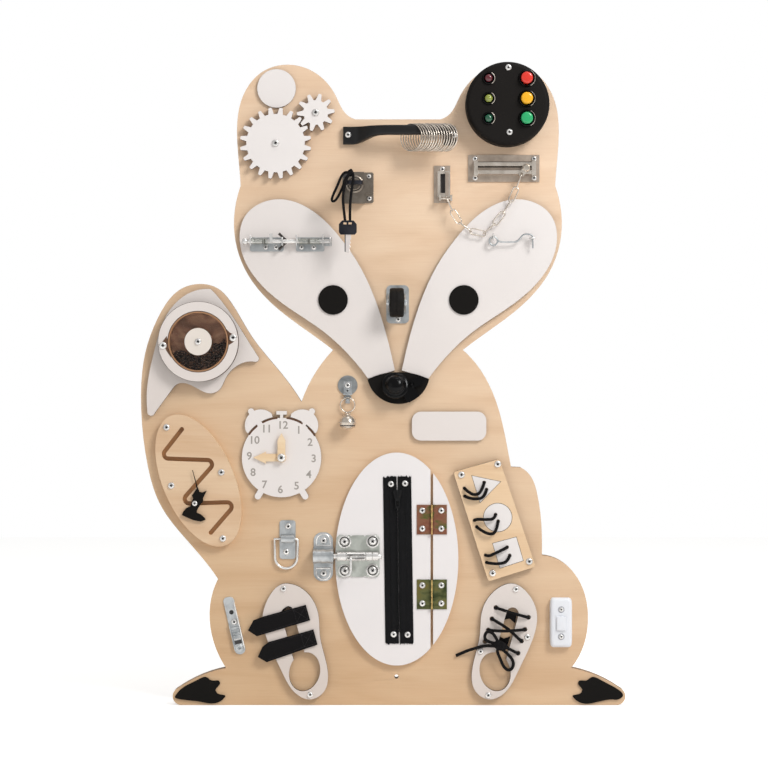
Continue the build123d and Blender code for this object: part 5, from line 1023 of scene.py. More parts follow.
spare = Shape()
bow = [(-65.5, 517.6), (-63.6, 515.1), (-48.0, 515.1), (-46.1, 517.6), (-46.1, 526.4), (-49.6, 530.5),
       (-62.0, 530.5), (-65.5, 526.4)]
slots = [rect((-60.6, 526.2), (-57.2, 528.4)), rect((-55.0, 526.2), (-51.4, 528.4))]
spare.prism(flat, bow, 52.0, 56.0, slots)
spare.prism(flat, [(-58.9, 515.5), (-58.9, 496.2), (-56.2, 494.1), (-53.6, 496.0), (-53.0, 498.2),
                   (-54.2, 499.8), (-52.6, 502.0), (-53.8, 504.4), (-52.4, 506.4), (-53.4, 508.6),
                   (-52.2, 510.6), (-52.2, 515.5)],
            53.0, 55.0, finish=1)
spare.prism(flat, [(-59.2, 515.2), (-59.2, 496.4), (-58.1, 496.2), (-58.1, 515.2)], 53.2, 55.2)
spare.build("hanging_key", "pendant", "satin_steel", ["key", "pale_key"], ["spare_key"], bevel=0.4, angle=40)

# ---------------------------------------------------- numerals of the clock
DIAL, DIAL_R, DIAL_TURN = (-129.0, 272.2), 35.4, 2.2
numerals = Shape()
for hour in range(1, 13):
    text = bpy.data.curves.new("numeral", "FONT")
    text.body = str(hour)
    text.size = 11.8
    text.offset = 0.22
    text.align_x, text.align_y = "CENTER", "CENTER"
    text.extrude = 0.06
    text.resolution_u = 4
    holder = bpy.data.objects.new("numeral", text)
    glyph = bpy.data.meshes.new_from_object(holder)
    angle = radians(30 * hour + DIAL_TURN)
    spot = front(DIAL[0] + DIAL_R * sin(angle), DIAL[1] + DIAL_R * cos(angle), 22.02)
    numerals.add(spot, [tuple(v.co) for v in glyph.vertices], [tuple(p.vertices) for p in glyph.polygons])
    bpy.data.objects.remove(holder)
# Dark-brown arcs over the dial's edge where its slots are: painted shade of the slots, with their charred
# sides.
for start, end in ((33, 48.5), (58, 83), (96, 119), (127.5, 145)):
    sector = arc(DIAL, 42.8, start, end, 8) + arc(DIAL, 44.8, end, start, 8)
    numerals.prism(flat, sector, 21.9, 22.04, finish=1)
numerals.build("numerals", "board", "clock_white", ["ink", "burnt_and_shade"])

# ---------------------------------------------------- caster wheel
HUB = Vector((-2.6, -39.5, 441.8))
frame_plate = Shape()
frame_plate.prism(flat, corners((-8.9, 424.6), (5.9, 456.6), 5, 5), FACE, 20.0)
for side in (8.35, -9.85):
    cheek = ([(19.0, -13.0), (21.0, -11.0)] + arc((39.5, 0), 4.6, -76, 76, 8) + [(21.0, 11.0), (19.0, 13.0)])
    frame_plate.prism(edgeways(HUB.x + side + SHEET, 0, HUB.z), cheek, 0.0, SHEET)
sideways = basis(HUB, (0, 1, 0))
frame_plate.lathe(sideways, [(0, -11.4), (1.9, -11.4), (2.1, -11.0), (2.1, 11.0), (1.9, 11.4), (0, 11.4)],
                  16)
for low, high in ((-11.1, -9.8), (9.8, 11.1)):
    frame_plate.lathe(sideways, [(0, low), (3.3, low), (3.3, high), (0, high)], 6)
frame_plate.build("caster_fork", "board", "zinc", ["zinc"], ["caster_frame"], bevel=0.3, angle=40)
wheel = Shape()
wheel.lathe(sideways, [(2.2, -7.4), (4.6, -7.4), (5.2, -6.2), (9.6, -6.2), (10.8, -7.6), (14.4, -7.7),
                       (15.5, -6.9), (16, -5.2), (16, -0.3), (15.7, -0.1), (15.7, 0.1), (16, 0.3), (16, 5.2),
                       (15.5, 6.9), (14.4, 7.7), (10.8, 7.6), (9.6, 6.2), (5.2, 6.2), (4.6, 7.4),
                       (2.2, 7.4)], 56)
wheel.build("wheel_tread", "wheel", "wheel_rubber", ["rubber"], ["caster_wheel"], angle=50)

# ---------------------------------------------------- bicycle bell
BELL_LEAN = radians(17)
THUMB, THUMB_TURN = (13.8, 352.8), 23.0
bell = Shape()
bell.lathe(front(-4.2, 350.6, TOP), [(11.0, 0), (12.6, 1.0), (13.0, 3.0), (13.0, 7.0), (0, 7.0)], 40)
dome = basis((-4.2, -31.0, 351.2), (1, 0, 0), (0, sin(BELL_LEAN), cos(BELL_LEAN)))
bell.lathe(dome, [(13.8, -1.4), (14.7, -0.8), (15.0, 0), (15.0, 0.9), (14.7, 1.6), (14.0, 2.1), (12.9, 2.5),
                  (11.6, 2.8), (10.9, 3.4), (10.5, 4.3), (10.3, 5.4), (9.9, 6.0), (9.3, 6.5), (9.1, 7.4),
                  (8.4, 8.6), (7.0, 9.7), (4.8, 10.5), (2.4, 10.9), (0, 11.0)], 64)
clamp = front(12.0, 342.0, TOP, 32)
bell.prism(clamp, corners((-4.2, -4.6), (4.4, 3.8), 3, 4), 0.0, 6.2)
bell.lathe(front(*THUMB, TOP), [(4.6, 0), (4.6, 2.0), (0, 2.0)], 24)
bell.build("bell_dome", "board", "black_plastic", ["gloss_black"], ["bike_bell"], bevel=0.5, angle=50)
lever = Shape()
outline = [(0, -4.2), (5, -4.4)] + arc((10.6, 0), 4.9, -80, 80, 9) + [(5, 4.4), (0, 4.2)]
outline += arc((0, 0), 4.3, 100, 260, 7)[1:-1]
lever.prism(front(*THUMB, 26.3, THUMB_TURN), outline, 0.0, 3.6)
lever.prism(front(*THUMB, 29.9, THUMB_TURN), circle((10.4, 0), 3.4, 20), 0.0, 0.5)
lever.lathe(front(*THUMB, 29.9), [(2.6, 0), (2.4, 0.7), (1.4, 4.2), (0, 4.6)], 20)
lever.build("thumb_piece", "thumb_lever", "black_plastic", ["gloss_black"], ["bell_lever"], bevel=0.6,
            angle=50)

# ---------------------------------------------------- pressed zinc plates: chime, lashing ring, latch
CHIME_X, CHIME_SEAT = -56.4, 20.4
plates = Shape()
plates.prism(front(CHIME_X, 351.6, FACE), circle((0, 0), 10.8, 48), 0.0, SHEET, finish=1)
plates.prism(flat, rect((-60.4, 341.0), (-52.4, 356.0)), ON_FACE, CHIME_SEAT)
for x in (-60.8, -53.0):
    box(plates, (x, 341.0), (x + 1.0, 356.0), ON_FACE, 2.1)
plates.prism(flat, rect((-58.8, 331.6), (-54.0, 341.6)), FACE, ON_FACE)
plates.tube([(-61.4, -21.0, 341.9), (-51.6, -21.0, 341.9)], 1.3, 14)
plates.tube([(-60.8, -19.4, 338.6), (-52.2, -19.4, 338.6)], 0.9, 12)
plates.lathe(front(-56.6, 345.6, CHIME_SEAT), [(1.9, 0), (1.9, 0.5), (1.2, 0.7), (1.1, 0.2)], 20)
# Dark centre of the rivet: painted shade.
plates.lathe(front(-56.6, 345.6, CHIME_SEAT), [(1.1, 0.2), (0, 0.2)], 20, finish=2)
plates.lathe(front(CHIME_X, 335.0, ON_FACE), [(1.2, 0), (1.2, 4.4), (2.0, 4.6), (1.6, 5.4), (0, 5.5)], 18)
plates.prism(flat, corners((-128.3, 163.6), (-116.7, 200.2), 3, 4), FACE, ON_FACE)
hump = arc((3.0, 0), 4.9, -142, 142, 20) + arc((3.0, 0), 3.5, 142, -142, 20)
plates.prism(edgeways(-115.0, FACE, 182.9), hump, 0.0, 14.6)
strip = front(-188.2, 119.1, FACE, 13.1)
outline = arc((0, -58.8), 6.0, 180, 360, 14) + arc((0.8, -5.6), 5.2, 0, 100, 7)
outline += arc((-1.6, -4.6), 4.4, 100, 180, 6)
plates.prism(strip, outline, 0.0, SHEET, [circle((0, -17.5), 2.5, 20)])
# Dark disc in the strip's hole: painted shadow.
plates.lathe(strip @ Matrix.Translation((0, -17.5, 0)), [(0, 0.1), (2.5, 0.1)], 20, finish=2)
plates.prism(strip, rect((4.8, -58.6), (6.0, -7.0)), 0.0, 5.0, finish=3)
plates.prism(strip, rect((-6.0, -58.6), (-4.8, -30.0)), 0.0, 3.6)
plates.prism(strip, arc((0.2, -7.4), 3.8, 0, 180, 10) + [(-3.6, -12.6), (4.0, -12.6)], SHEET, 2.0)
plates.build("pressed_plates", "board", "zinc", ["zinc", "brushed", "recess", "bright"], ["zinc_plates"],
             bevel=0.25, angle=40)

slide = Shape()
slide.prism(strip, arc((0, -57.6), 4.3, 180, 360, 12) + [(4.3, -34.0), (-4.3, -34.0)], 1.9, 3.7,
            [circle((0, -57), 1.7, 16)])
slide.prism(strip, rect((-3.9, -53.0), (3.9, -48.8)), 3.7, 3.8, finish=1)
for y, thick, shade in ((-37.4, 0.9, 0), (-40.6, 0.9, 0), (-43.8, 0.9, 0), (-47.4, 0.8, 2)):
    slide.tube([strip @ Vector((-4.0, y, 3.7)), strip @ Vector((4.0, y, 3.7))], thick, 10, finish=shade)
slide.lathe(front(*(strip @ Vector((0, -57, 0))).xz, 21.7), [(3.4, 0), (3.4, 0.5), (2.6, 0.9), (1.8, 0.7),
                                                             (1.7, 0)], 24)
slide.build("latch_tongue", "latch", "zinc", ["zinc", "recess", "bright"], ["latch_slide"], bevel=0.25,
            angle=40)

loop = Shape()
line = [(-136.9, 182.9), (-111.0, 182.9)] + arc((-123.95, 162.6), 12.2, 0, -180, 18)
loop.tube(rounded([(x, -21.0, z) for x, z in line + line[:1]], 3.2, 4)[:-1], 1.4, 12, closed=True)
loop.build("lashing_loop", "ring", "zinc", ["bright"], ["d_ring"], angle=80)

# ---------------------------------------------------- bell hanging from the chime plate
jingle = Shape()
jingle.tube(ring_line((CHIME_X, -21.2, 329.9), 7.9, (1, 0, 0), (0, 0, 1), 40), 0.7, 10, closed=True)
jingle.tube(ring_line((CHIME_X, -24.6, 320.4), 2.5, (0, -0.84, -0.54), (1, 0, 0), 20), 0.6, 8, closed=True)
upright = basis((CHIME_X, -29.0, 311.3), (1, 0, 0), (0, 1, 0))
line = [(27.0, 318.0), (27.6, 320.6), (29.2, 321.0), (30.4, 319.6), (30.4, 318.0)]
jingle.tube([(CHIME_X, -level, z) for level, z in line], 0.7, 8)
jingle.lathe(upright, [(0, 8.3), (2.4, 8.1), (4.6, 7.3), (6.8, 5.6), (8.5, 3.3), (9.3, 1.2), (9.6, 0.4),
                       (9.8, 0.2), (9.8, -0.9), (9.6, -1.1), (9.2, -2.4), (8.8, -3.3)], 48)
# Dark band where the bell's slot is: painted shade, the bell being closed there.
jingle.lathe(upright, [(8.8, -3.3), (8.3, -3.6), (8.2, -4.3), (8.5, -4.5)], 48, finish=1)
jingle.lathe(upright, [(8.5, -4.5), (7.4, -5.9), (5.4, -7.4), (2.8, -8.3), (0, -8.5)], 48)
jingle.build("crotal_bell", "hanging_bell", "nickel", ["nickel", "recess"], ["jingle_bell"], angle=50)

# ---------------------------------------------------- seed drum
DRUM, DRUM_R, WALL_R, HUB_R = (-219.6, 399.3), 32.9, 31.4, 15.2
DRUM_FLOOR, DRUM_EDGE, HUB_TOP = 26.2, 35.9, 36.6  # levels
SEEDS, HUB_CLEAR, RIM_CLEAR = 260, 16.8, 30.2  # how many, and how near the hub and the rim they lie
drum = Shape()
centre = front(*DRUM, 0.0)
drum.lathe(centre, [(0, 24.3), (DRUM_R, 24.3), (DRUM_R, 25.4)], 72)
drum.lathe(centre, [(DRUM_R, 25.4), (DRUM_R, DRUM_EDGE), (WALL_R, DRUM_EDGE), (WALL_R, DRUM_FLOOR)], 72,
           finish=1)
drum.lathe(centre, [(WALL_R, DRUM_FLOOR), (0, DRUM_FLOOR)], 72)
drum.lathe(centre, [(HUB_R, DRUM_FLOOR), (HUB_R, 34.2)], 56, finish=1)
drum.lathe(centre, [(HUB_R, 34.2), (HUB_R, 36.2), (14.9, HUB_TOP), (0, HUB_TOP)], 56, finish=2)
drum.screw(*DRUM, HUB_TOP, 3.8, 2.0, 25.0, 3, 4)
random.seed(11)
for _ in range(SEEDS):
    while True:
        x, z = random.uniform(-30.4, 30.4), random.uniform(-30.4, 12.0)
        if HUB_CLEAR < hypot(x, z) < RIM_CLEAR and z < -6.0 + 0.35 * x + 4.0 * sin(x / 5.0):
            break
    turn, lift = random.uniform(0, pi), random.uniform(27.4, 33.4)
    tumble = Matrix.Rotation(random.uniform(-0.6, 0.6), 4, "X")
    seed = front(DRUM[0] + x, DRUM[1] + z, lift, degrees(turn)) @ tumble
    long, wide = random.uniform(1.5, 2.1), random.uniform(0.95, 1.3)
    rings = [(0, -long), (wide * 0.72, -long * 0.68), (wide, 0), (wide * 0.66, long * 0.7), (0, long)]
    drum.lathe(seed @ Matrix.Rotation(pi / 2, 4, "Y"), rings, 7, finish=5)
drum_looks = ["drum_back", "rim", "hub_cream", "bright", "recess", "seeds"]
drum.build("drum_inside", "drum", "drum_brown", drum_looks, ["seed_drum"], angle=50)
# Dark-brown wedges on the ring beside its screws, where it has notches: painted shade of the notches, with
# their charred sides.
notches = Shape()
for wedge in ([(-253.9, 405.6), (-258.6, 399.4), (-254.6, 389.8), (-248.8, 381.1), (-252.4, 393.0),
               (-252.9, 400.7)],
              [(-188.6, 412.9), (-184.6, 409.0), (-178.8, 406.4), (-180.6, 399.0), (-185.9, 395.6),
               (-186.3, 404.6)]):
    notches.prism(flat, wedge, DRUM_EDGE, 36.06)
notches.build("drum_notches", "board", "white_board", ["burnt_and_shade"])
pane = Shape()
pane.lathe(centre, [(15.4, 34.5), (31.3, 34.5), (31.3, 35.7), (15.4, 35.7), (15.4, 34.5)], 72)
pane.build("drum_window", "drum", "drum_brown", ["window"], angle=50)

# ---------------------------------------------------- round panel with lamps and push buttons
CAP = (118.5, 659.0)
ROWS = [("red", 686.3), ("amber", 664.2), ("green", 642.6)]
LAMP_X, BUTTON_X = 97.6, 139.1
cap = Shape()
cap.lathe(front(*CAP, 0), [(0, FACE), (45.8, FACE), (45.8, 38.0), (45.5, 39.4), (44.6, 40.9), (43.3, 42.3),
                           (42.2, 42.9), (41.0, DOME), (0, DOME)], 96)
for number, (colour, z) in enumerate(ROWS):
    cap.lathe(front(LAMP_X, z, DOME), [(6.9, 0), (6.9, 1.1), (6.5, 1.8), (5.8, 2.0), (5.2, 1.6), (4.9, 0.8),
                                       (4.4, 0.5)], 40,
              finish=1)
    cap.lathe(front(LAMP_X, z, DOME), [(4.3, 0.4), (4.3, 1.4), (3.9, 2.4), (3.1, 3.2), (1.9, 3.8), (0, 4.0)],
              32, finish=2 + number)
    cap.lathe(front(BUTTON_X, z, DOME), [(9.3, 0), (9.3, 1.4), (8.9, 2.5), (8.2, 3.0), (7.5, 2.7),
                                         (7.1, 1.9), (6.9, 0.4)], 48,
              finish=1)
    # Silver arcs on the right of each bezel and button ring: painted highlights.
    for x, r in ((LAMP_X, 6.7), (BUTTON_X, 9.0)):
        cap.tube([(px, -45.1, pz) for px, pz in arc((x, z), r, -62, 62, 12)], 0.34, 6, finish=5)
    button = Shape()
    button.lathe(front(BUTTON_X, z, 0), [(0, 41.8), (6.5, 41.8), (6.5, 48.8), (6.2, 49.8), (5.4, 50.5),
                                         (4.2, 50.8), (0, 50.9)], 48)
    button.build(colour + "_push", colour + "_button", colour + "_plastic", [colour], ["button_" + colour],
                 angle=45)
cap_looks = ["cap", "gloss_black", "lamp_red", "lamp_olive", "lamp_green", "nickel"]
cap.build("round_panel", "board", "grey_cap", cap_looks, ["panel_cap"], angle=40)

# ---------------------------------------------------- bell-push switch
switch = Shape()
SWITCH_X, SWITCH_TOP = 177.8, 27.0
sections = [((SWITCH_X, -level, 91.25), (12.1 - inset, 0, 0), (0, 0, 27.2 - inset), 9)
            for level, inset in ((FACE, 0), (23.8, 0), (25.2, 0.5), (26.3, 1.5), (26.9, 2.8),
                                 (SWITCH_TOP, 3.6))]
switch.loft(sections, 72)
for z in (105.7, 76.0):
    switch.lathe(front(SWITCH_X, z, SWITCH_TOP), [(3.7, 0.05), (3.4, 0.1), (2.7, 0.06)], 28, finish=1)
switch.prism(flat, rect((171.4, 81.2), (184.2, 99.8)), SWITCH_TOP, 27.3,
             [rect((172.2, 82.0), (183.4, 99.0))])
switch.build("switch_body", "board", "white_plastic", ["white_plastic", "groove"], ["switch_housing"],
             angle=40)
rocker = Shape()
rocker.loft([((SWITCH_X, -level, 90.5), (5.3 - inset, 0, 0), (0, 0, 8.0 - inset), 9)
             for level, inset in ((24.3, 0), (28.6, 0), (29.2, 0.4), (29.5, 1.1))], 56)
rocker.build("switch_push", "switch", "white_plastic", ["white_plastic"], ["switch_button"], angle=40)

# ---------------------------------------------------- straps of the left shoe
STRAP_TOP = 26.4
STRAPS = {
    "upper": [(-102.3, 110.7), (-148.9, 97.9), (-159.7, 93.9), (-165.7, 82.7), (-155.9, 76.3),
              (-97.5, 93.9)],
    "lower": [(-93.9, 83.7), (-143.0, 70.0), (-149.9, 64.6), (-154.9, 53.7), (-145.2, 47.9), (-89.5, 67.1)],
}


def stitches(shape, start, end, level, gap=2.4):
    """Row of short raised threads between two points of a face."""
    run = end - start
    count = max(1, int(run.length / gap))
    for k in range(count):
        a, b = start + run * ((k + 0.18) / count), start + run * ((k + 0.82) / count)
        middle = (a.x * 0.5 + b.x * 0.5, -level - 0.25, a.y * 0.5 + b.y * 0.5)
        shape.tube([(a.x, -level, a.y), middle, (b.x, -level, b.y)], 0.24, 5, finish=1)


for side, body in (("upper", "top_strap"), ("lower", "low_strap")):
    strap = Shape()
    outline = STRAPS[side]
    strap.prism(flat, outline[::-1], 24.4, STRAP_TOP)
    inner = [Vector(p) for p in outline]
    along = (inner[0] - inner[1]).normalized()
    across = Vector((-along.y, along.x))
    low_right, high_right = inner[5] - along * 1.6 + across * 1.6, inner[0] - along * 1.6 - across * 1.6
    far_low, far_high = low_right - along * 13, high_right - along * 13
    for a, b in ((low_right, high_right), (far_low, far_high), (low_right, far_low), (high_right, far_high),
                 (low_right, far_high), (high_right, far_low)):
        stitches(strap, a, b, STRAP_TOP)
    for a, b in ((inner[1] - across * 1.4, far_high), (inner[4] + across * 1.6 + along * 2.0, far_low)):
        stitches(strap, a, b, STRAP_TOP)
    if side == "upper":
        hem = [(-127.6 + 1.25 * k, -24.7, 104.2 + 0.34 * k + 2.7 * sin(pi * k / 8)) for k in range(9)]
        strap.tube(hem, 0.75, 8)
    obj = strap.build("strap_" + side + "_web", body, "strap_fabric", ["strap", "thread"], ["strap_" + side],
                      bevel=0.6)

# ---------------------------------------------------- zip fastener on the door
ZIP = front(-0.85, 159.8, 0.0, 0.83)
ZIP_HALF, ZIP_WIDE = 93.2, 15.5  # half the tape's length, and its edge from the teeth
TAPE_TOP, FOLD_TOP = 24.7, 25.1
TOOTH_LEVELS, TOOTH_PITCH, SHUT_TEETH, OPEN_TEETH = (25.0, 26.2), 1.55, 96, 12
random.seed(6)


def ragged(low_x, high_x, y, steps, jump):
    """Frayed end of a tape, from one side to the other."""
    return [(low_x + (high_x - low_x) * k / steps, y + random.uniform(-jump, jump))
            for k in range(steps + 1)]


tapes = Shape()
for inner, outer in ((-0.6, -ZIP_WIDE), (0.6, ZIP_WIDE)):
    left, right = min(inner, outer), max(inner, outer)
    edge = ragged(left, right, -ZIP_HALF + 1.6, 15, 1.5) + ragged(right, left, ZIP_HALF - 1.6, 15, 1.5)
    tapes.prism(ZIP, edge, TOP, TAPE_TOP)
    fold = inner + (outer - inner) * 0.52
    left, right = min(inner, fold), max(inner, fold)
    edge = ragged(left, right, -ZIP_HALF + 1.6, 5, 0.3) + ragged(right, left, ZIP_HALF - 1.6, 5, 0.3)
    tapes.prism(ZIP, edge, TAPE_TOP, FOLD_TOP)
    for x in (outer * 0.93, fold * 1.04):
        ends = [ZIP @ Vector((x, y, 24.75)) for y in (-ZIP_HALF + 1.5, ZIP_HALF - 1.5)]
        tapes.tube(ends, 0.22, 5)
for k in range(SHUT_TEETH):
    x, y = -0.75 if k % 2 else 0.75, -ZIP_HALF + 15.0 + TOOTH_PITCH * k
    tapes.prism(ZIP, rect((x - 1.5, y - 0.5), (x + 1.5, y + 0.5)), *TOOTH_LEVELS, finish=1)
for k in range(OPEN_TEETH):
    y = ZIP_HALF - 20 + TOOTH_PITCH * k
    for side in (-1, 1):
        x = side * (1.4 + 0.16 * k)
        tapes.prism(ZIP, rect((x - 1.1, y - 0.5), (x + 1.1, y + 0.5)), *TOOTH_LEVELS, finish=1)
web = tapes.build("zip_tape", "door", "zip_tape", ["tape", "teeth"], ["zipper_tapes"])

SLIDER_Y = ZIP_HALF - 21.0
slider = Shape()
sections = [(ZIP @ Vector((0, SLIDER_Y + y, TOOTH_LEVELS[1])), (half, 0, 0), (0, -thick, 0), 5)
            for y, half, thick in ((-5.0, 2.8, 1.3), (-3.2, 3.6, 1.5), (0.5, 4.4, 1.5), (3.2, 5.0, 1.5),
                                   (4.6, 4.4, 1.2))]
slider.loft(sections, 28)
bridge = [ZIP @ Vector((0, SLIDER_Y + y, level)) for y, level in ((3.4, 27.2), (3.0, 29.2), (-2.4, 29.2),
                                                                  (-3.0, 27.2))]
slider.tube(rounded(bridge, 1.4), 0.8, 10)
pull = arc((0, -14.4), 2.3, 180, 360, 8)
pull += [(2.7, -6.0), (2.2, 0.0), (1.4, 1.6), (-1.4, 1.6), (-2.2, 0.0), (-2.7, -6.0)]
holes = [circle((0, -0.4), 1.0, 12), rect((-1.1, -13.4), (1.1, -8))]
slider.prism(ZIP @ Matrix.Translation((0, SLIDER_Y + 0.6, 0)), pull, 27.6, 28.8, holes)
slider.build("zip_slider", "zip", "nickel", ["teeth"], ["zipper_slider"], bevel=0.3)

# ---------------------------------------------------- door bolt and its keeper
BAR_Z, BAR_AT = 164.3, 31.5  # height and level of the bolt's bar
base = Shape()
top = [(-21.3, 178.0), (-21.6, 184.6), (-24.4, 187.6), (-36.2, 187.0), (-37.6, 185.6), (-39.0, 187.0),
       (-51.0, 187.0), (-52.4, 185.6), (-53.8, 187.0), (-65.6, 187.6), (-68.5, 184.6), (-68.8, 178.0)]
bottom = [(x, 2 * BAR_Z - z) for x, z in top][::-1]
base.prism(flat, top + bottom, TOP, ON_TOP)
# Dish round each screw, with a dark inner ring of painted shade.
for x, z in DOOR_SCREWS[2][2]:
    base.lathe(front(x, z, ON_TOP), [(7.4, 0), (7.1, 0.9), (6.3, 1.1), (5.6, 0.3)], 32, finish=1)
    base.lathe(front(x, z, ON_TOP), [(5.6, 0.3), (4.6, 0.1)], 32, finish=2)
for right, length, start in ((-22.8, 6.2, 0), (-29.8, 6.2, 0), (-36.8, 20.4, 24), (-58.0, 9.6, 0)):
    for sign in (1, -1) if start else (1,):
        a, b = (start, 128) if start else (-128, 128)
        arch = [(x, sign * y) for x, y in arc((7.5, 0), 5.0, a, b, 20) + arc((7.5, 0), 3.6, b, a, 20)]
        base.prism(edgeways(right, TOP, BAR_Z), arch, 0.0, length, finish=1)
# Dark lines along the edges of the barrel's slot: painted shade.
for side in (-2.3, 2.3):
    base.tube([(-38.0, -36.4, BAR_Z + side), (-56.6, -36.4, BAR_Z + side)], 0.4, 6, finish=2)
base.build("bolt_base", "door", "satin_steel", ["satin", "bright", "recess"], ["door_bolt_base"], bevel=0.3,
           angle=40)

bolt = Shape()
rod_line = lengthways(-73.6, BAR_AT, BAR_Z)
bolt.lathe(rod_line, [(0, 0), (2.2, 0.2), (2.9, 1.2), (3.0, 2.2), (3.0, 53.2), (2.6, 54.4), (0, 54.9)], 28)
bolt.tube(rounded([(-52.8, -BAR_AT, BAR_Z), (-52.8, -38.6, BAR_Z - 1.0), (-52.8, -38.8, 148.6),
                   (-54.6, -38.8, 144.4), (-58.2, -38.8, 143.4)], 3.4), 1.5, 10)
bolt.build("bolt_bar", "door_bolt", "satin_steel", ["bright"], ["door_bolt_rod"], bevel=0.4, angle=40)

keeper = Shape()
keeper.prism(flat, corners((-84.8, 145.4), (-81.6, 180.9), 9, 8), FACE, ON_FACE)
for z, sign in ((180.4, 1), (145.6, -1)):
    dee = [(x, -19.6, z + sign * y) for x, y in arc((-83.2, 0), 7.6, 0, 180, 14)
           + [(-90.8, -5.0), (-75.6, -5.0)]]
    keeper.tube(dee, 1.0, 8, closed=True, finish=1)
hoop = [(0.5, -7.4), (13.5, -7.4)] + arc((13.5, 0), 7.4, -90, 90, 16) + [(13.5, 7.4), (0.5, 7.4)]
bore = [(1.6, -5.2), (13.5, -5.2)] + arc((13.5, 0), 5.2, -90, 90, 14) + [(13.5, 5.2), (1.6, 5.2)]
for right, length, grow in ((-72.0, 22.2, 0.0), (-72.6, 3.0, 0.5), (-81.6, 3.0, 0.5), (-90.6, 3.0, 0.5)):
    band = [(x + (grow if x > 1 else 0), y + (grow if y > 0 else -grow)) for x, y in hoop]
    keeper.prism(edgeways(right, FACE, BAR_Z), band, 0.0, length, [bore])
keeper.prism(flat, rect((-94.2, 155.4), (-72.0, 173.2)), FACE, 20.0)
keeper.build("bolt_keeper", "board", "zinc", ["zinc", "bright"], ["door_bolt_keeper"], bevel=0.35, angle=40)

# ---------------------------------------------------- finger-maze cat
CAT_PIN = (-223.9, 222.15)
CAT = [(-220.9, 240.1), (-218.7, 234.7), (-216.2, 234.1), (-210.8, 236.0), (-213.0, 231.5), (-214.9, 227.7),
       (-214.6, 224.6), (-218.7, 219.5), (-221.2, 215.1), (-221.9, 212.0), (-217.4, 210.1), (-213.0, 206.3),
       (-212.1, 204.1), (-217.4, 202.2), (-225.0, 203.8), (-231.3, 206.3), (-238.0, 209.4), (-236.4, 213.2),
       (-233.2, 217.0), (-228.8, 218.9), (-226.9, 224.6), (-225.6, 227.7), (-226.9, 230.9), (-223.8, 235.3)]
cat = Shape()
cat.prism(flat, CAT[::-1], 26.3, 29.3)
cat.lathe(front(*CAT_PIN, FACE), rect((0, 0.4), (2.2, 8.6)), 20)
cat.tube([(-221.2, -28.4, 238.6), (-222.6, -28.7, 245.0), (-223.9, -28.8, 250.0), (-226.3, -28.8, 258.7)],
         [0.8, 0.6, 0.5, 0.4], 8)
cat.screw(*CAT_PIN, 29.3, 3.0, 1.4, 12.0, 1, 2)
cat.build("cat", "cat", "cat_black", ["black", "bright", "recess"], ["cat_slider"], bevel=0.5, angle=40)

# ---------------------------------------------------- laces of the lacing board and of the right shoe
LACE = 3.4
LACES = {
    "triangle": [(0.0356, [(71.7, -26, 238.7), (73.5, -31, 236.5), (82, -32, 231), (90.5, -31.5, 234.5),
                           (93.4, -26, 245)]),
                 (0.0329, [(72.1, -26, 230), (74.5, -30, 228.5), (85, -31, 226.6), (94, -30.5, 229.5),
                           (96, -26, 237.2)])],
    "circle": [(0.0301, [(82.7, -26, 203.6), (85, -30.5, 205), (95, -31, 204.6), (104.5, -30.5, 205),
                         (105.8, -26, 209.8)]),
               (0.0384, [(85.2, -26, 196.5), (87.2, -30.5, 194.4), (98, -31, 188.2), (106.5, -31, 190),
                         (108.7, -26, 202.5)])],
    "square": [(0.0304, [(94.9, -26, 165.4), (97.5, -30.5, 164), (107, -31, 168.5), (116.5, -30.5, 173),
                         (118.4, -26, 174)]),
               (0.0330, [(96, -26, 157.3), (99, -30.5, 156.6), (109.5, -31, 156), (119, -30.5, 158.5),
                         (121.4, -26, 165)])],
}
for shape, runs in LACES.items():
    for number, (length, route) in enumerate(runs):
        lace = curve_cord(f"{shape}_lace_{number}", shape, "cord", route, LACE,
                          ["lace_" + shape] if number == 0 else ())

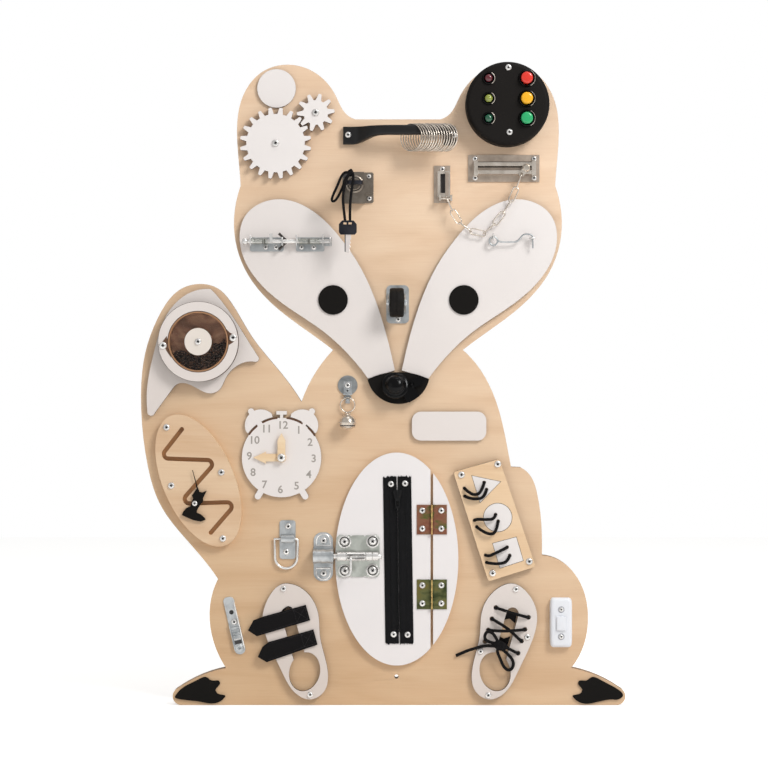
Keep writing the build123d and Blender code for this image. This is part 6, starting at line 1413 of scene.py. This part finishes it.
SHOE_LACES = [
    (0.0410, "object", [(106.3, -24, 107.6), (108.6, -28, 107), (124, -28.4, 102), (139.6, -28, 97.6),
                        (142, -24, 97)]),
    (0.0445, "object", [(102, -24, 95.3), (104.2, -28, 94.2), (119.5, -28.6, 85), (132.4, -28, 72.4),
                        (134.4, -24, 71)]),
    (0.0455, "object", [(138.2, -24, 83.7), (135.6, -28.2, 83.5), (124.5, -31.9, 83), (114, -31.9, 82.5),
                        (101, -28.6, 82.9), (98, -24, 83)]),
    (0.0862, "object", [(130.6, -24, 57.6), (128.2, -27.8, 58.6), (121, -28.6, 62.6), (112, -30, 67),
                        (106.5, -30, 62), (111, -28, 51.5), (114.8, -27, 42.5), (120.5, -26.6, 38.3),
                        (125.3, -26.6, 42.5), (125.3, -27.2, 49.5), (120, -28.4, 56.5), (113.5, -29.6, 62)]),
    (0.0438, "object", [(109, -29.6, 68.5), (106.5, -31.6, 75), (101.5, -32.6, 81.5), (96.2, -32.6, 82.4),
                        (93.4, -31.4, 77.5), (94.6, -30, 72.4), (99.5, -29.2, 70.4), (107, -29.2, 68)]),
    (0.0480, "bare", [(107, -29.4, 65.5), (101, -28.4, 66.2), (93, -27, 66), (84, -26.6, 63.4),
                      (74, -21, 59.8), (62.6, -19.8, 54.4)]),
]
for number, (length, end, route) in enumerate(SHOE_LACES):
    lace = curve_cord(f"shoe_lace_{number}", "board", "cord", route, LACE,
                      ["shoe_lace"] if number == 0 else ())
bow_knot = Shape()
for turn, (x, z) in enumerate(((109.2, 66.6), (112.6, 65.4))):
    line = [(x + 1.5 * cos(a) + 0.8 * sin(a), -29.8 - 2.7 * sin(a), z + 3.2 * cos(a))
            for a in (2 * pi * k / 16 for k in range(16))]
    bow_knot.tube(line, 1.35, 8, closed=True)
bow_knot.loft([((102.6 + 3.4 * k, -29.6, 68.4 - 0.8 * k), (0.3, -0.2 * h, h), (0, -0.7 * h, -0.2 * h), 2.2)
               for k, h in enumerate((1.4, 4.2, 5.4, 5.0, 3.4, 1.4))], 20)
bow_knot.prism(flat, [(117.6, 103.4), (114.2, 93.4), (121.4, 95.4), (127.6, 90.0), (129.4, 101.6),
                      (123.6, 100.0)], 18.2, 20.4)
bow_knot.prism(flat, [(108.8, 76.6), (106.6, 62.6), (117.0, 60.6), (122.4, 75.6), (115.2, 73.0)], 18.2, 20.4)
bow_knot.build("lace_knot", "board", "shoe_lace_fabric", ["cord"], angle=80)

# ---------------------------------------------------- the end
low, high = CAD_BOX
